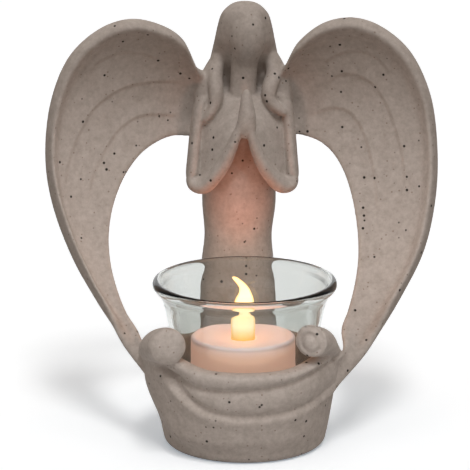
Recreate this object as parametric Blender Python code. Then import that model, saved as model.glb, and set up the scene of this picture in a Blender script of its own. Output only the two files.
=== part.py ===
# Angel candle holder: a cast resin angel whose wings come forward to a cup,
# a flared votive glass that stands in the cup, and an LED candle that stands in the glass.
# Sizes are in millimetres. The cup's axis is Z, the table is z = 0, the front faces -Y.

import math

import bmesh
import bpy
import numpy as np
from mathutils import Matrix, Vector

MM = 0.001
SEAT_GAP = 0.3  # between two pieces that rest on each other

# Cup at the foot of the casting
CUP_FOOT_R = 29.8
CUP_RIM_R = 34.8
CUP_RIM_Z = 35.4
CUP_RIM_WALL = 5.0
CUP_FLOOR_Z = 17.0
CUP_FOOT_EDGE = 3.2
GLASS_SIDE_GAP = 1.6  # between the glass and the cup's floor corner

# Votive glass
GLASS_FOOT_R = 23.0
GLASS_WAIST_R = 28.6
GLASS_RIM_R = 33.6
GLASS_H = 44.0
GLASS_FLARE_H = 7.0
GLASS_WALL = 2.2
GLASS_FLOOR = 5.0
GLASS_FOOT_EDGE = 2.0

# LED candle
CANDLE_R = 19.0
CANDLE_X = -0.6  # it stands loose in the glass, a little off its axis
CANDLE_H = 18.3
CANDLE_WALL = 1.2
CANDLE_TOP = 1.6
CANDLE_DISH = 0.9
FIT_GAP = 0.3  # clearance of each piece inside the candle
LENS_R = 4.3
LENS_BORE_R = 2.9
LENS_FLANGE_R = 6.0
LENS_FLANGE_T = 1.2
LENS_DOME_H = 12.6
FLAME_TIP_H = 9.4
FLAME_TIP_LEAN = 4.1
LED_R = 2.5
LED_H = 8.6
LEAD_R = 0.25
LEAD_SPREAD = 1.27
CELL_R = 10.0
CELL_H = 3.2
PLATE_T = 2.4
DOOR_T = 1.4
DOOR_LIP = 1.0
WELL_WALL = 1.1
WELL_H = 3.6
TAB_W = 5.0
SCREW_R = 0.9
SCREW_HEAD_R = 1.7
SCREW_L = 4.4
SWITCH_W = 2.8
SWITCH_L = 4.0
SWITCH_TRAVEL = 2.5
SWITCH_FLANGE = 0.8
STRIP_T = 0.4
STRIP_W = 3.0

# Figure behind the cup
ROBE_GAP = 2.0  # between the glass rim and the robe
ROBE_WAIST_W = 26.4
ROBE_WAIST_D = 19.6
ROBE_HEM_W = 38.0
ROBE_HEM_D = 32.0
ROBE_LEAN_X = -0.9
HEAD_TOP_Z = 155.4
FOREHEAD_DROP = 2.6
FACE_H = 21.2
CHIN_Z = HEAD_TOP_Z - FOREHEAD_DROP - FACE_H
SHOULDER_DROP = 12.6  # from the chin
SHOULDER_Z = CHIN_Z - SHOULDER_DROP
UPPER_ARM_H = 29.5
ELBOW_Z = SHOULDER_Z - UPPER_ARM_H
WAIST_DROP = 22.5  # from the elbows
WAIST_Z = ELBOW_Z - WAIST_DROP
SHOULDER_W = 29.0
ELBOW_W = 31.4
ARM_R = 4.4
ELBOW_R = 5.8
WRIST_R = 2.5
HAND_TOP_DROP = 5.8  # from the chin
HAND_TOP_Z = CHIN_Z - HAND_TOP_DROP
HAND_REACH = 18.6
HAIR_W = 25.4
HAIR_D = 20.0
FACE_W = 13.4
FACE_D = 15.0
HEAD_X = 0.6
NECK_R = 5.2
LOCK_R = 2.5

# Wings
WING_FIELD_T = 3.4
WING_RIM_R = 2.9
WING_CUPPING = 5.2  # depth of the hollow near the shoulder
TIP_CUPPING = 1.6  # and where the wing meets the cup
FEATHER_STEP = 0.55
TIP_THINNING = 0.55  # share of its thickness that a wing loses as it wraps round the cup

# Scrolls on the cup's rim
SCROLL_GROOVE = 0.8

FIGURE_Y = GLASS_RIM_R + ROBE_GAP + ROBE_WAIST_D / 2
GLASS_Z = CUP_FLOOR_Z + SEAT_GAP
CANDLE_Z = GLASS_Z + GLASS_FLOOR + SEAT_GAP
CANDLE_TOP_Z = CANDLE_Z + CANDLE_H

# The tables of wings and scrolls are drawn for these sizes, and follow them when they change
DRAWN_RIM_R, DRAWN_RIM_Z, DRAWN_SHOULDER_Z, DRAWN_FIGURE_Y = 34.8, 35.4, 119.0, 45.4

# Wing edges as (x, distance in front of the figure's axis, z), from shoulder to cup, and
# then as (degrees round the cup from the front, z, how far it stands off the cup)
LEFT_WING = {
    "outer": [
        (-15.5, 1.0, 131.2), (-22.0, 5.0, 142.4), (-31.0, 8.6, 148.7), (-42.0, 10.6, 150.8),
        (-53.5, 11.6, 146.7), (-64.0, 12.8, 136.7), (-70.5, 14.4, 120.8), (-72.7, 17.0, 102.0),
        (-70.4, 21.0, 85.0), (-63.6, 27.0, 66.7), (-54.4, 34.0, 50.8), (-45.0, 41.0, 37.6),
    ],
    "inner": [
        (-19.5, -1.0, 104.3), (-26.0, 0.4, 104.6), (-32.0, 2.0, 102.5), (-37.6, 4.4, 98.8),
        (-42.4, 7.4, 93.2), (-46.0, 10.8, 86.6), (-48.6, 14.6, 78.7), (-49.7, 18.8, 70.0),
        (-49.0, 23.6, 61.4), (-46.8, 29.0, 53.5), (-43.4, 35.0, 46.1), (-39.0, 40.5, 40.4),
    ],
    "wrap_outer": [(-79.0, 26.0, 1.4), (-62.0, 17.0, 0.4), (-46.0, 11.0, -1.6), (-34.0, 8.5, -5.0)],
    "wrap_inner": [(-82.0, 36.6, 1.6), (-66.0, 33.6, 1.0), (-50.0, 29.0, -0.8), (-38.0, 26.0, -5.0)],
}
RIGHT_WING = {
    "outer": [
        (15.1, 1.0, 132.2), (21.0, 5.0, 141.0), (30.0, 8.6, 148.7), (41.0, 10.6, 151.0),
        (52.0, 11.6, 147.3), (62.4, 12.8, 137.9), (69.5, 14.4, 122.3), (72.0, 17.0, 104.0),
        (71.4, 21.0, 86.0), (67.0, 27.0, 67.3), (58.0, 34.0, 50.9), (47.5, 42.0, 36.6),
    ],
    "inner": [
        (19.0, -1.0, 104.7), (24.6, 0.4, 104.2), (30.0, 2.0, 102.1), (34.6, 4.4, 98.0),
        (38.0, 7.4, 92.4), (40.4, 10.8, 85.6), (42.0, 14.6, 77.9), (42.8, 18.8, 70.0),
        (42.6, 23.6, 61.8), (41.0, 29.0, 53.9), (38.4, 35.0, 46.3), (35.6, 41.0, 40.6),
    ],
    "wrap_outer": [(76.0, 24.0, 1.2), (60.0, 20.5, 0.4), (46.0, 18.5, -1.6), (34.0, 17.5, -5.0)],
    "wrap_inner": [(80.0, 36.0, 1.4), (64.0, 34.5, 1.0), (50.0, 33.0, -0.8), (38.0, 31.5, -5.0)],
}
# Each scroll: the rolled edge's path as (x, y, height above the rim, radius), from its face back to the wing
LEFT_SCROLL = [(-28.0, -27.0, 7.6, 7.6), (-29.2, -22.0, 7.3, 7.2), (-31.6, -15.0, 5.2, 6.2),
               (-34.0, -8.0, 2.2, 4.8), (-35.2, -2.0, -0.5, 3.0)]
RIGHT_SCROLL = [(24.2, -28.0, 8.0, 7.0), (25.6, -23.5, 7.8, 6.7), (28.6, -17.0, 5.4, 5.8),
                (31.6, -10.0, 2.2, 4.6), (33.4, -4.0, -0.5, 3.0)]


def clear_scene():
    for obj in list(bpy.data.objects):
        bpy.data.objects.remove(obj, do_unlink=True)


def material(name, colour, roughness, metallic=0.0, transmission=0.0):
    made = bpy.data.materials.new(name)
    made.use_nodes = True
    shader = made.node_tree.nodes["Principled BSDF"]
    shader.inputs["Base Color"].default_value = (*colour, 1.0)
    shader.inputs["Roughness"].default_value = roughness
    shader.inputs["Metallic"].default_value = metallic
    shader.inputs["Transmission Weight"].default_value = transmission
    return made


def smoothstep(low, high, value):
    t = min(1.0, max(0.0, (value - low) / (high - low)))
    return t * t * (3.0 - 2.0 * t)


def through(points, count):
    """Evenly spaced points on a Catmull-Rom curve through the given points."""
    known = np.array(points, float)
    padded = np.vstack([2 * known[0] - known[1], known, 2 * known[-1] - known[-2]])
    fine = []
    for i in range(1, len(padded) - 2):
        a, b, c, d = padded[i - 1 : i + 3]
        for t in np.linspace(0.0, 1.0, 12, endpoint=False):
            fine.append(
                0.5 * (2 * b + (c - a) * t + (2 * a - 5 * b + 4 * c - d) * t**2
                       + (3 * b - a - 3 * c + d) * t**3)
            )
    fine = np.array([*fine, padded[-2]])
    run = np.concatenate([[0.0], np.cumsum(np.linalg.norm(np.diff(fine, axis=0), axis=1))])
    at = np.linspace(0.0, run[-1], count)
    return np.stack([np.interp(at, run, fine[:, k]) for k in range(fine.shape[1])], axis=1)


def smooth_value(stations, at):
    """A size read off (place, size) stations with eased steps between them."""
    for (p0, v0), (p1, v1) in zip(stations, stations[1:]):
        if at <= p1:
            return v0 + (v1 - v0) * smoothstep(p0, p1, at)
    return stations[-1][1]


def loft(name, rings, look=None, helper=False):
    """A closed solid through rings of equally many points, capped at both ends."""
    bm = bmesh.new()
    rows = [[bm.verts.new(Vector(p) * MM) for p in ring] for ring in rings]
    for low, high in zip(rows, rows[1:]):
        for i in range(len(low)):
            j = (i + 1) % len(low)
            bm.faces.new((low[i], low[j], high[j], high[i]))
    bm.faces.new(rows[0])
    bm.faces.new(rows[-1])
    bmesh.ops.recalc_face_normals(bm, faces=bm.faces)
    return finish(name, bm, look, helper)


def finish(name, bm, look=None, helper=False):
    mesh = bpy.data.meshes.new(name)
    bm.to_mesh(mesh)
    bm.free()
    mesh.shade_smooth()
    mesh.set_sharp_from_angle(angle=math.radians(40.0))
    obj = bpy.data.objects.new(name, mesh)
    bpy.context.scene.collection.objects.link(obj)
    if look is not None:
        mesh.materials.append(look)
    obj.hide_render = helper
    obj.display_type = "WIRE" if helper else "TEXTURED"
    return obj


def turned(name, profile, look=None, helper=False, sides=40, centre=(0.0, 0.0)):
    """A solid of revolution about a vertical axis, from an (r, z) profile that starts and ends near the axis."""
    rings = []
    for r, z in profile:
        ring = []
        for k in range(sides):
            angle = 2 * math.pi * k / sides
            ring.append((centre[0] + r * math.cos(angle), centre[1] + r * math.sin(angle), z))
        rings.append(ring)
    return loft(name, rings, look, helper)


def ring_solid(name, loop, look=None, sides=36):
    """A ring-shaped solid of revolution from a closed (r, z) loop."""
    bm = bmesh.new()
    rows = []
    for r, z in loop:
        row = []
        for k in range(sides):
            angle = 2 * math.pi * k / sides
            row.append(bm.verts.new(Vector((r * math.cos(angle), r * math.sin(angle), z)) * MM))
        rows.append(row)
    for low, high in zip(rows, rows[1:] + rows[:1]):
        for k in range(sides):
            j = (k + 1) % sides
            bm.faces.new((low[k], low[j], high[j], high[k]))
    bmesh.ops.recalc_face_normals(bm, faces=bm.faces)
    return finish(name, bm, look)


def block(name, low, high, look=None, helper=False):
    rings = [
        [(low[0], low[1], z), (high[0], low[1], z), (high[0], high[1], z), (low[0], high[1], z)]
        for z in (low[2], high[2])
    ]
    return loft(name, rings, look, helper)


def combine(obj, other, operation):
    modifier = obj.modifiers.new(f"{operation.lower()} {other.name}", "BOOLEAN")
    modifier.operation = operation
    modifier.solver = "EXACT"
    modifier.object = other


def arc(centre, radius, start, end, steps):
    """Points of an (r, z) arc, angles in degrees from +r towards +z."""
    return [
        (centre[0] + radius * math.cos(math.radians(a)), centre[1] + radius * math.sin(math.radians(a)))
        for a in np.linspace(start, end, steps)
    ]


# Cup with the draped wing ends wrapped round its front

CUP_SIDES = 46
CUP_ROWS = 17
# Fold edges as (degrees round from the front, share of the rim's height)
DRAPE_EDGE = [(-86, 1.04), (-66, 0.93), (-50, 0.79), (-33, 0.69), (-19, 0.62), (-4, 0.565),
              (12, 0.565), (26, 0.59), (42, 0.625), (60, 0.66)]
RIM_GROOVE = [(-70, 0.93), (-46, 0.875), (-30, 0.86), (0, 0.86), (20, 0.90), (40, 0.95), (52, 0.975), (66, 0.985)]


def fold_height(fold, degrees):
    return float(np.interp(degrees, [p[0] for p in fold], [p[1] for p in fold]))


def rim_height(degrees):
    """The rim rises to each scroll and is level elsewhere."""
    lift = 2.6 * math.exp(-(((abs(degrees) - 52.0) / 17.0) ** 2))
    return CUP_RIM_Z + lift


def cup_radius(share):
    """The cup widens a little less towards its rim."""
    return CUP_FOOT_R + (CUP_RIM_R - CUP_FOOT_R) * share**0.85


def rounded_band(low, high, share):
    """1 over the middle of a band, falling in a curve to 0 at both its edges."""
    across = min(1.0, max(0.0, (share - low) / max(high - low, 0.02)))
    return math.sin(math.pi * across) ** 0.65


def fold_relief(degrees, share):
    """How far the folds stand out from the cup: the left wing's drape low down, a band
    from the right wing above it, and the rolled rim on top."""
    edge = fold_height(DRAPE_EDGE, degrees)
    groove = fold_height(RIM_GROOVE, degrees)
    side = 1.0 - smoothstep(-80.0, -45.0, degrees)
    low = smoothstep(0.12 * side, 0.2 + 0.5 * side, share)
    drape_out = 3.2 - 2.2 * smoothstep(-62.0, 24.0, degrees)
    fade = smoothstep(-140.0, -95.0, degrees) * (1.0 - smoothstep(46.0, 74.0, degrees))
    drape = drape_out * fade * low * (1.0 - smoothstep(edge - 0.06, edge + 0.02, share))
    front = smoothstep(-74.0, -58.0, degrees) * (1.0 - smoothstep(66.0, 82.0, degrees))
    band = 1.5 * rounded_band(edge, groove, share)
    rim = 1.5 * rounded_band(groove, 1.06, share)
    return drape + front * (band + rim)


def cup_solid():
    """The cup's outside and rolled rim, not yet hollow."""
    sides = [360.0 * k / CUP_SIDES - 180.0 for k in range(CUP_SIDES)]

    def ring(radius_of, height_of):
        points = []
        for degrees in sides:
            a = math.radians(degrees)
            r = radius_of(degrees)
            points.append((r * math.sin(a), -r * math.cos(a), height_of(degrees)))
        return points

    rings = [
        ring(lambda d, a=math.radians(turn): CUP_FOOT_R - CUP_FOOT_EDGE * (1.0 - math.sin(a)),
             lambda d, a=math.radians(turn): CUP_FOOT_EDGE * (1.0 - math.cos(a)))
        for turn in (0.0, 30.0, 60.0, 90.0)
    ]
    for row in range(1, CUP_ROWS + 1):
        share = row / CUP_ROWS
        rings.append(
            ring(
                lambda d, s=share: cup_radius(s) + fold_relief(d, min(s, 0.985)),
                lambda d, s=share: CUP_FOOT_EDGE + (rim_height(d) - 1.4 - CUP_FOOT_EDGE) * s,
            )
        )
    rings += [
        ring(lambda d: CUP_RIM_R - 0.24 * CUP_RIM_WALL, rim_height),
        ring(lambda d: CUP_RIM_R - 0.76 * CUP_RIM_WALL, rim_height),
        ring(lambda d: CUP_RIM_R - 1.12 * CUP_RIM_WALL, lambda d: rim_height(d) - 1.6),
    ]
    return loft("cup", rings)


# Scrolls

def scroll_solid(name, spec):
    """The wing's inner edge rolled up: a tube that ends at the front in a face with a sunk ring."""
    wide = CUP_RIM_R / DRAWN_RIM_R
    path = through([(x * wide, y * wide, CUP_RIM_Z + up * wide, r * wide) for x, y, up, r in spec], 9)
    axis = Vector(path[0][:3]) - Vector(path[1][:3])
    axis.z = 0.12 * axis.length
    axis.normalize()
    face_r = path[0][3]
    # (share of the radius, how far in front of the face's centre)
    face = [(0.30, 0.0), (0.56, -0.1), (0.66, -SCROLL_GROOVE), (0.76, -0.2), (0.90, 0.0), (1.0, -1.2)]
    stations = [(Vector(path[0][:3]) + axis * out, face_r * share) for share, out in face]
    stations += [(Vector(p[:3]), p[3]) for p in path[1:]]
    across = Vector((-axis.y, axis.x, 0.0)).normalized()
    hand = 1.0 if across.x * spec[0][0] > 0 else -1.0
    up = Vector((0.0, 0.0, 1.0))
    rings = []
    for centre, r in stations:
        ring = []
        for k in range(18):
            angle = 2 * math.pi * k / 18
            wound = ((angle - math.radians(200.0)) % (2 * math.pi)) / (2 * math.pi)
            reach = r * (1.0 - 0.08 * wound)
            ring.append(tuple(centre + across * (hand * reach * math.cos(angle)) + up * (reach * math.sin(angle))))
        rings.append(ring)
    return loft(name, rings)


# Wings

WING_RINGS = 30
FRONT_STEPS = 11
BACK_STEPS = 4
FEATHER_EDGES = (0.17, 0.46, 0.74)


def wing_hollow(share, cupping):
    """How far the wing lies behind the line between its edges: deepest past the middle."""
    return cupping * math.sin(math.pi * share**1.25) ** 0.9


def wing_front(share, width, cupping):
    """Height of a wing's front face across its width: rolled rim, hollow field, feather rows."""
    across = share * width
    rim = 1.3 * WING_RIM_R * math.exp(-(((across - 0.9 * WING_RIM_R) / (1.05 * WING_RIM_R)) ** 2))
    rows = sum(FEATHER_STEP * (1.0 - smoothstep(e - 0.02, e + 0.035, share)) for e in FEATHER_EDGES)
    return WING_FIELD_T / 2 + rim - wing_hollow(share, cupping) + rows


def wing_edges(spec):
    side = -1.0 if spec["outer"][0][0] < 0 else 1.0
    wide = CUP_RIM_R / DRAWN_RIM_R
    tall = (SHOULDER_Z - CUP_RIM_Z) / (DRAWN_SHOULDER_Z - DRAWN_RIM_Z)
    edges = []
    for key, root_z in (("outer", SHOULDER_Z + 1.0), ("inner", SHOULDER_Z - 16.0)):
        points = [(side * 6.0, FIGURE_Y + 2.5, root_z)]
        for x, front, z in spec[key]:
            y = FIGURE_Y * (1.0 - front / DRAWN_FIGURE_Y)
            points.append((x * wide, y, CUP_RIM_Z + (z - DRAWN_RIM_Z) * tall))
        for degrees, z, proud in spec[f"wrap_{key}"]:
            a = math.radians(degrees)
            r = cup_radius(z / DRAWN_RIM_Z) + proud
            points.append((r * math.sin(a), -r * math.cos(a), z / DRAWN_RIM_Z * CUP_RIM_Z))
        edges.append(through(points, WING_RINGS))
    return edges


def wing_solid(name, spec):
    outer, inner = wing_edges(spec)
    middle = (outer + inner) / 2
    along = np.gradient(middle, axis=0)
    rings = []
    for step, (o, i, t) in enumerate(zip(outer, inner, along)):
        t_along = step / (WING_RINGS - 1)
        cupping = WING_CUPPING + (TIP_CUPPING - WING_CUPPING) * smoothstep(0.2, 0.7, t_along)
        cupping *= smoothstep(-0.05, 0.15, t_along)
        thick = 1.0 - TIP_THINNING * smoothstep(0.68, 0.9, t_along)
        width = float(np.linalg.norm(i - o))
        across = (i - o) / width
        normal = np.cross(t, across)
        normal /= np.linalg.norm(normal)
        if normal[1] > 0:
            normal = -normal
        ring = []
        for k in range(FRONT_STEPS + 1):
            share = 0.5 - 0.5 * math.cos(math.pi * k / FRONT_STEPS)
            edge = thick * min(1.0, 4.0 * min(share, 1.0 - share) + 0.12)
            ring.append(o + across * share * width + normal * (wing_front(share, width, cupping) * edge))
        for k in range(BACK_STEPS, 0, -1):
            share = 0.5 - 0.5 * math.cos(math.pi * k / (BACK_STEPS + 1))
            back = -thick * WING_FIELD_T / 2 - wing_hollow(share, cupping)
            ring.append(o + across * share * width + normal * back)
        rings.append([tuple(p) for p in ring])
    return loft(name, rings)


# Figure

def oval_stack(name, stations, sides=20):
    """A solid through level ovals, each given as (z, centre x, centre y, width, depth)."""
    rings = []
    for z, cx, cy, width, depth in stations:
        ring = []
        for k in range(sides):
            angle = 2 * math.pi * k / sides
            ring.append((cx + width / 2 * math.cos(angle), cy + depth / 2 * math.sin(angle), z))
        rings.append(ring)
    return loft(name, rings)


def robe_solid():
    y = FIGURE_Y
    front = y - ROBE_WAIST_D / 2
    hem_y = front - 3.0 + ROBE_HEM_D / 2 - 8.0
    chest = 0.763 * (SHOULDER_Z - ELBOW_Z)  # from the elbows up to where the shoulders begin
    return oval_stack(
        "robe",
        [
            (0.0, -1.4, hem_y, ROBE_HEM_W - 2.0, ROBE_HEM_D - 2.0),
            (1.2, -1.4, hem_y, ROBE_HEM_W, ROBE_HEM_D),
            (0.28 * WAIST_Z, -1.5, hem_y + 1.2, ROBE_HEM_W - 3.0, ROBE_HEM_D - 4.0),
            (0.50 * WAIST_Z, -1.6, y - 3.6, ROBE_WAIST_W + 5.6, ROBE_WAIST_D + 5.0),
            (0.68 * WAIST_Z, -1.6, y - 1.5, ROBE_WAIST_W + 3.4, ROBE_WAIST_D + 1.6),
            (0.86 * WAIST_Z, -1.4, y, ROBE_WAIST_W + 0.6, ROBE_WAIST_D),
            (WAIST_Z, ROBE_LEAN_X - 0.3, y, ROBE_WAIST_W - 1.0, ROBE_WAIST_D - 0.4),
            (WAIST_Z + 0.51 * (ELBOW_Z - WAIST_Z), ROBE_LEAN_X, y + 0.2, ROBE_WAIST_W + 1.2, ROBE_WAIST_D),
            (ELBOW_Z, ROBE_LEAN_X, y + 0.8, ROBE_WAIST_W + 1.0, ROBE_WAIST_D - 0.6),
            (ELBOW_Z + 0.53 * chest, -0.6, y + 1.0, ROBE_WAIST_W, ROBE_WAIST_D - 1.6),
            (ELBOW_Z + chest, -0.3, y + 1.0, SHOULDER_W - 1.0, ROBE_WAIST_D - 2.2),
            (SHOULDER_Z, 0.0, y + 1.2, SHOULDER_W - 2.0, ROBE_WAIST_D - 3.6),
            (SHOULDER_Z + 3.6, 0.2, y + 1.4, SHOULDER_W - 10.0, ROBE_WAIST_D - 6.6),
            (SHOULDER_Z + 6.0, 0.3, y + 1.4, SHOULDER_W - 17.0, ROBE_WAIST_D - 10.0),
        ],
    )


def tube(name, points, sizes, count, sides=12, flat=1.0):
    """A round limb along a smooth path, its radius eased between the given sizes."""
    path = through(points, count)
    stations = [(k / (len(sizes) - 1), s) for k, s in enumerate(sizes)]
    tangents = np.gradient(path, axis=0)
    rings = []
    for k, (p, t) in enumerate(zip(path, tangents)):
        t = t / np.linalg.norm(t)
        side = np.cross(t, (0.0, 1.0, 0.0))
        side /= np.linalg.norm(side)
        depth = np.cross(side, t)
        r = smooth_value(stations, k / (count - 1))
        ring = []
        for j in range(sides):
            angle = 2 * math.pi * j / sides
            ring.append(tuple(p + side * (r * math.cos(angle)) + depth * (flat * r * math.sin(angle))))
        rings.append(ring)
    return loft(name, rings)


def upper_arm_solid(name, side):
    """Sleeved upper arm, from the shoulder down to the elbow."""
    y = FIGURE_Y
    x = ROBE_LEAN_X
    points = [
        (side * (SHOULDER_W / 2 - 4.3), y + 0.8, SHOULDER_Z + 1.3),
        (x * 0.5 + side * (SHOULDER_W / 2 - 0.6), y - 1.0, ELBOW_Z + 0.763 * (SHOULDER_Z - ELBOW_Z)),
        (x + side * (ELBOW_W / 2 + 0.2), y - 4.6, ELBOW_Z + 0.27 * (SHOULDER_Z - ELBOW_Z)),
        (x + side * (ELBOW_W / 2 - 0.4), y - 7.4, ELBOW_Z - 0.6),
        (x + side * (ELBOW_W / 2 - 1.6), y - 8.6, ELBOW_Z - 4.6),
    ]
    return tube(name, points, [ARM_R - 1.6, ARM_R, ARM_R + 0.8, ELBOW_R - 0.6, ELBOW_R - 3.4], 9, flat=1.15)


def sleeve_solid(name, side):
    """Forearm in its wide sleeve, from the elbow up to the wrist."""
    y = FIGURE_Y
    x = ROBE_LEAN_X
    rise = HAND_TOP_Z - ELBOW_Z
    points = [
        (x + side * (ELBOW_W / 2 + 1.2), y - 7.4, ELBOW_Z - 2.4),
        (x + side * (ELBOW_W / 2 - 3.0), y - 9.6, ELBOW_Z - 0.6),
        (x + side * 8.8, y - 12.8, ELBOW_Z + 0.14 * rise),
        (x + side * 4.9, y - 15.4, ELBOW_Z + 0.31 * rise),
        (0.1 + side * 2.2, y - HAND_REACH + 1.4, ELBOW_Z + 0.5 * rise),
        (0.3 + side * 0.9, y - HAND_REACH + 1.0, ELBOW_Z + 0.66 * rise),
    ]
    sizes = [ELBOW_R - 3.0, ELBOW_R - 1.0, WRIST_R + 1.9, WRIST_R + 0.9, WRIST_R + 0.1, WRIST_R - 1.0]
    return tube(name, points, sizes, 10, flat=1.15)


def hands_solid():
    """Two palms pressed together, tapering to the fingertips."""
    y = FIGURE_Y - HAND_REACH
    base = ELBOW_Z + 0.347 * (HAND_TOP_Z - ELBOW_Z)
    rise = HAND_TOP_Z - base
    shares = [(0.0, 1.4, 2.4), (0.10, 4.2, 5.0), (0.35, 5.4, 6.4), (0.55, 4.9, 6.2), (0.78, 3.8, 5.0),
              (0.93, 2.6, 3.4), (1.0, 1.2, 1.8)]
    return oval_stack(
        "hands", [(base + rise * s, 0.4, y + 0.6 * s, w, d) for s, w, d in shares], sides=12
    )


def hair_solid():
    """Long hair drawn back over the head, widening to the shoulders."""
    y = FIGURE_Y + 1.6
    drop = HEAD_TOP_Z - SHOULDER_Z
    shares = [
        (1.0, 0.10, 0.12, 0.4), (0.985, 0.32, 0.34, 0.4), (0.94, 0.52, 0.56, 0.5), (0.86, 0.70, 0.76, 0.9),
        (0.74, 0.80, 0.84, 1.6), (0.60, 0.88, 0.82, 2.4), (0.46, 0.98, 0.74, 3.4), (0.30, 1.10, 0.64, 4.2),
        (0.14, 1.20, 0.56, 4.6), (-0.10, 1.14, 0.50, 4.4), (-0.38, 0.84, 0.40, 3.8), (-0.66, 0.40, 0.20, 2.4),
    ]
    return oval_stack(
        "hair",
        [(SHOULDER_Z + drop * s, HEAD_X, y + back, HAIR_W * w, HAIR_D * d) for s, w, d, back in shares],
    )


def face_solid():
    """A plain egg of a face, bowed forwards, with no features."""
    y = FIGURE_Y - 2.4
    rise = HEAD_TOP_Z - FOREHEAD_DROP - CHIN_Z
    shares = [(0.0, 0.22), (0.05, 0.44), (0.16, 0.70), (0.32, 0.90), (0.5, 1.0), (0.68, 0.99), (0.84, 0.86),
              (0.94, 0.66), (1.0, 0.34)]
    return oval_stack(
        "face",
        [
            (CHIN_Z + rise * s, HEAD_X, y - 2.2 * math.sin(math.pi * (0.12 + 0.6 * s)), FACE_W * w, FACE_D * w)
            for s, w in shares
        ],
        sides=18,
    )


def lock_solid(name, side):
    """A lock of hair that falls beside the face and neck and curls out over the arm."""
    y = FIGURE_Y
    points = [
        (HEAD_X + side * 6.6, y + 1.0, CHIN_Z + 0.67 * (HEAD_TOP_Z - CHIN_Z)),
        (HEAD_X + side * 8.8, y - 2.4, CHIN_Z + 0.29 * (HEAD_TOP_Z - CHIN_Z)),
        (HEAD_X + side * 9.9, y - 4.6, CHIN_Z - 1.5),
        (HEAD_X + side * 8.6, y - 6.2, CHIN_Z - 9.0),
        (side * 8.2, y - 6.8, CHIN_Z - 13.6),
        (side * 11.8, y - 6.6, CHIN_Z - 18.4),
        (side * 16.4, y - 4.6, CHIN_Z - 21.6),
    ]
    sizes = [LOCK_R - 0.8, LOCK_R + 0.4, LOCK_R + 0.5, LOCK_R, LOCK_R - 0.2, LOCK_R - 0.3, 1.0]
    return tube(name, points, sizes, 13, sides=10, flat=1.2)


def neck_solid():
    y = FIGURE_Y - 0.4
    return oval_stack(
        "neck",
        [
            (SHOULDER_Z - 4.0, 0.4, y + 0.8, 2 * NECK_R + 5.0, 2 * NECK_R + 3.0),
            (SHOULDER_Z + 3.0, 0.5, y - 0.4, 2 * NECK_R, 2 * NECK_R),
            (CHIN_Z + 4.0, HEAD_X, y - 0.6, 2 * NECK_R - 0.6, 2 * NECK_R),
        ],
        sides=16,
    )


def figure_casting(look):
    """The whole casting: every form is joined to the cup by a union, as it leaves one mould."""
    casting = cup_solid()
    casting.name = "figure_casting"
    casting.data.materials.append(look)
    forms = [
        robe_solid(), neck_solid(), hair_solid(), face_solid(),
        wing_solid("left_wing", LEFT_WING), wing_solid("right_wing", RIGHT_WING),
        upper_arm_solid("left_arm", -1.0), upper_arm_solid("right_arm", 1.0),
        sleeve_solid("left_sleeve", -1.0), sleeve_solid("right_sleeve", 1.0), hands_solid(),
        lock_solid("left_lock", -1.0), lock_solid("right_lock", 1.0),
        scroll_solid("left_scroll", LEFT_SCROLL), scroll_solid("right_scroll", RIGHT_SCROLL),
    ]
    for form in forms:
        form.hide_render = True
        form.display_type = "WIRE"
        combine(casting, form, "UNION")
    well_r = CUP_RIM_R - CUP_RIM_WALL
    well_foot_r = GLASS_FOOT_R + GLASS_SIDE_GAP
    well = turned(
        "glass_well",
        [
            (well_foot_r, CUP_FLOOR_Z),
            (well_foot_r + 0.55 * (well_r - well_foot_r), CUP_FLOOR_Z + 7.0),
            (well_r, CUP_RIM_Z - 2.4),
            (well_r + 0.4, CUP_RIM_Z + 14.0),
        ],
        helper=True,
        sides=CUP_SIDES,
    )
    combine(casting, well, "DIFFERENCE")
    return casting


# Glass

def votive_glass(look):
    """A tapered votive glass with a flared, rounded lip and a thick floor."""
    z = GLASS_Z
    top = z + GLASS_H
    flare_z = top - GLASS_FLARE_H
    lip = GLASS_WALL / 2 + 0.25
    outer = [(1.0, z), (GLASS_FOOT_R - GLASS_FOOT_EDGE, z)]
    outer += arc((GLASS_FOOT_R - GLASS_FOOT_EDGE, z + GLASS_FOOT_EDGE), GLASS_FOOT_EDGE, -60, 0, 3)
    outer += [(GLASS_FOOT_R + 0.78 * (GLASS_WAIST_R - GLASS_FOOT_R), z + 0.65 * (flare_z - z)),
              (GLASS_WAIST_R, flare_z)]
    flare = GLASS_RIM_R - GLASS_WAIST_R
    outer += [(GLASS_WAIST_R + flare * s**1.7, flare_z + (GLASS_FLARE_H - lip) * s) for s in (0.35, 0.7, 1.0)]
    lip_arc = arc((GLASS_RIM_R - lip, top - lip), lip, 30, 180, 6)
    inner = [(GLASS_WAIST_R - GLASS_WALL + flare * s**1.7, flare_z + (GLASS_FLARE_H - lip) * s) for s in (0.6, 0.3)]
    inner += [
        (GLASS_WAIST_R - GLASS_WALL, flare_z - 0.6),
        (GLASS_FOOT_R + 0.78 * (GLASS_WAIST_R - GLASS_FOOT_R) - GLASS_WALL, z + 0.65 * (flare_z - z)),
        (GLASS_FOOT_R - GLASS_WALL + 0.8, z + GLASS_FLOOR + 1.2),
        (GLASS_FOOT_R - GLASS_WALL - 0.4, z + GLASS_FLOOR),
        (1.0, z + GLASS_FLOOR),
    ]
    return turned("votive_glass", outer + lip_arc + inner, look, sides=36)


# LED candle

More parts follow.
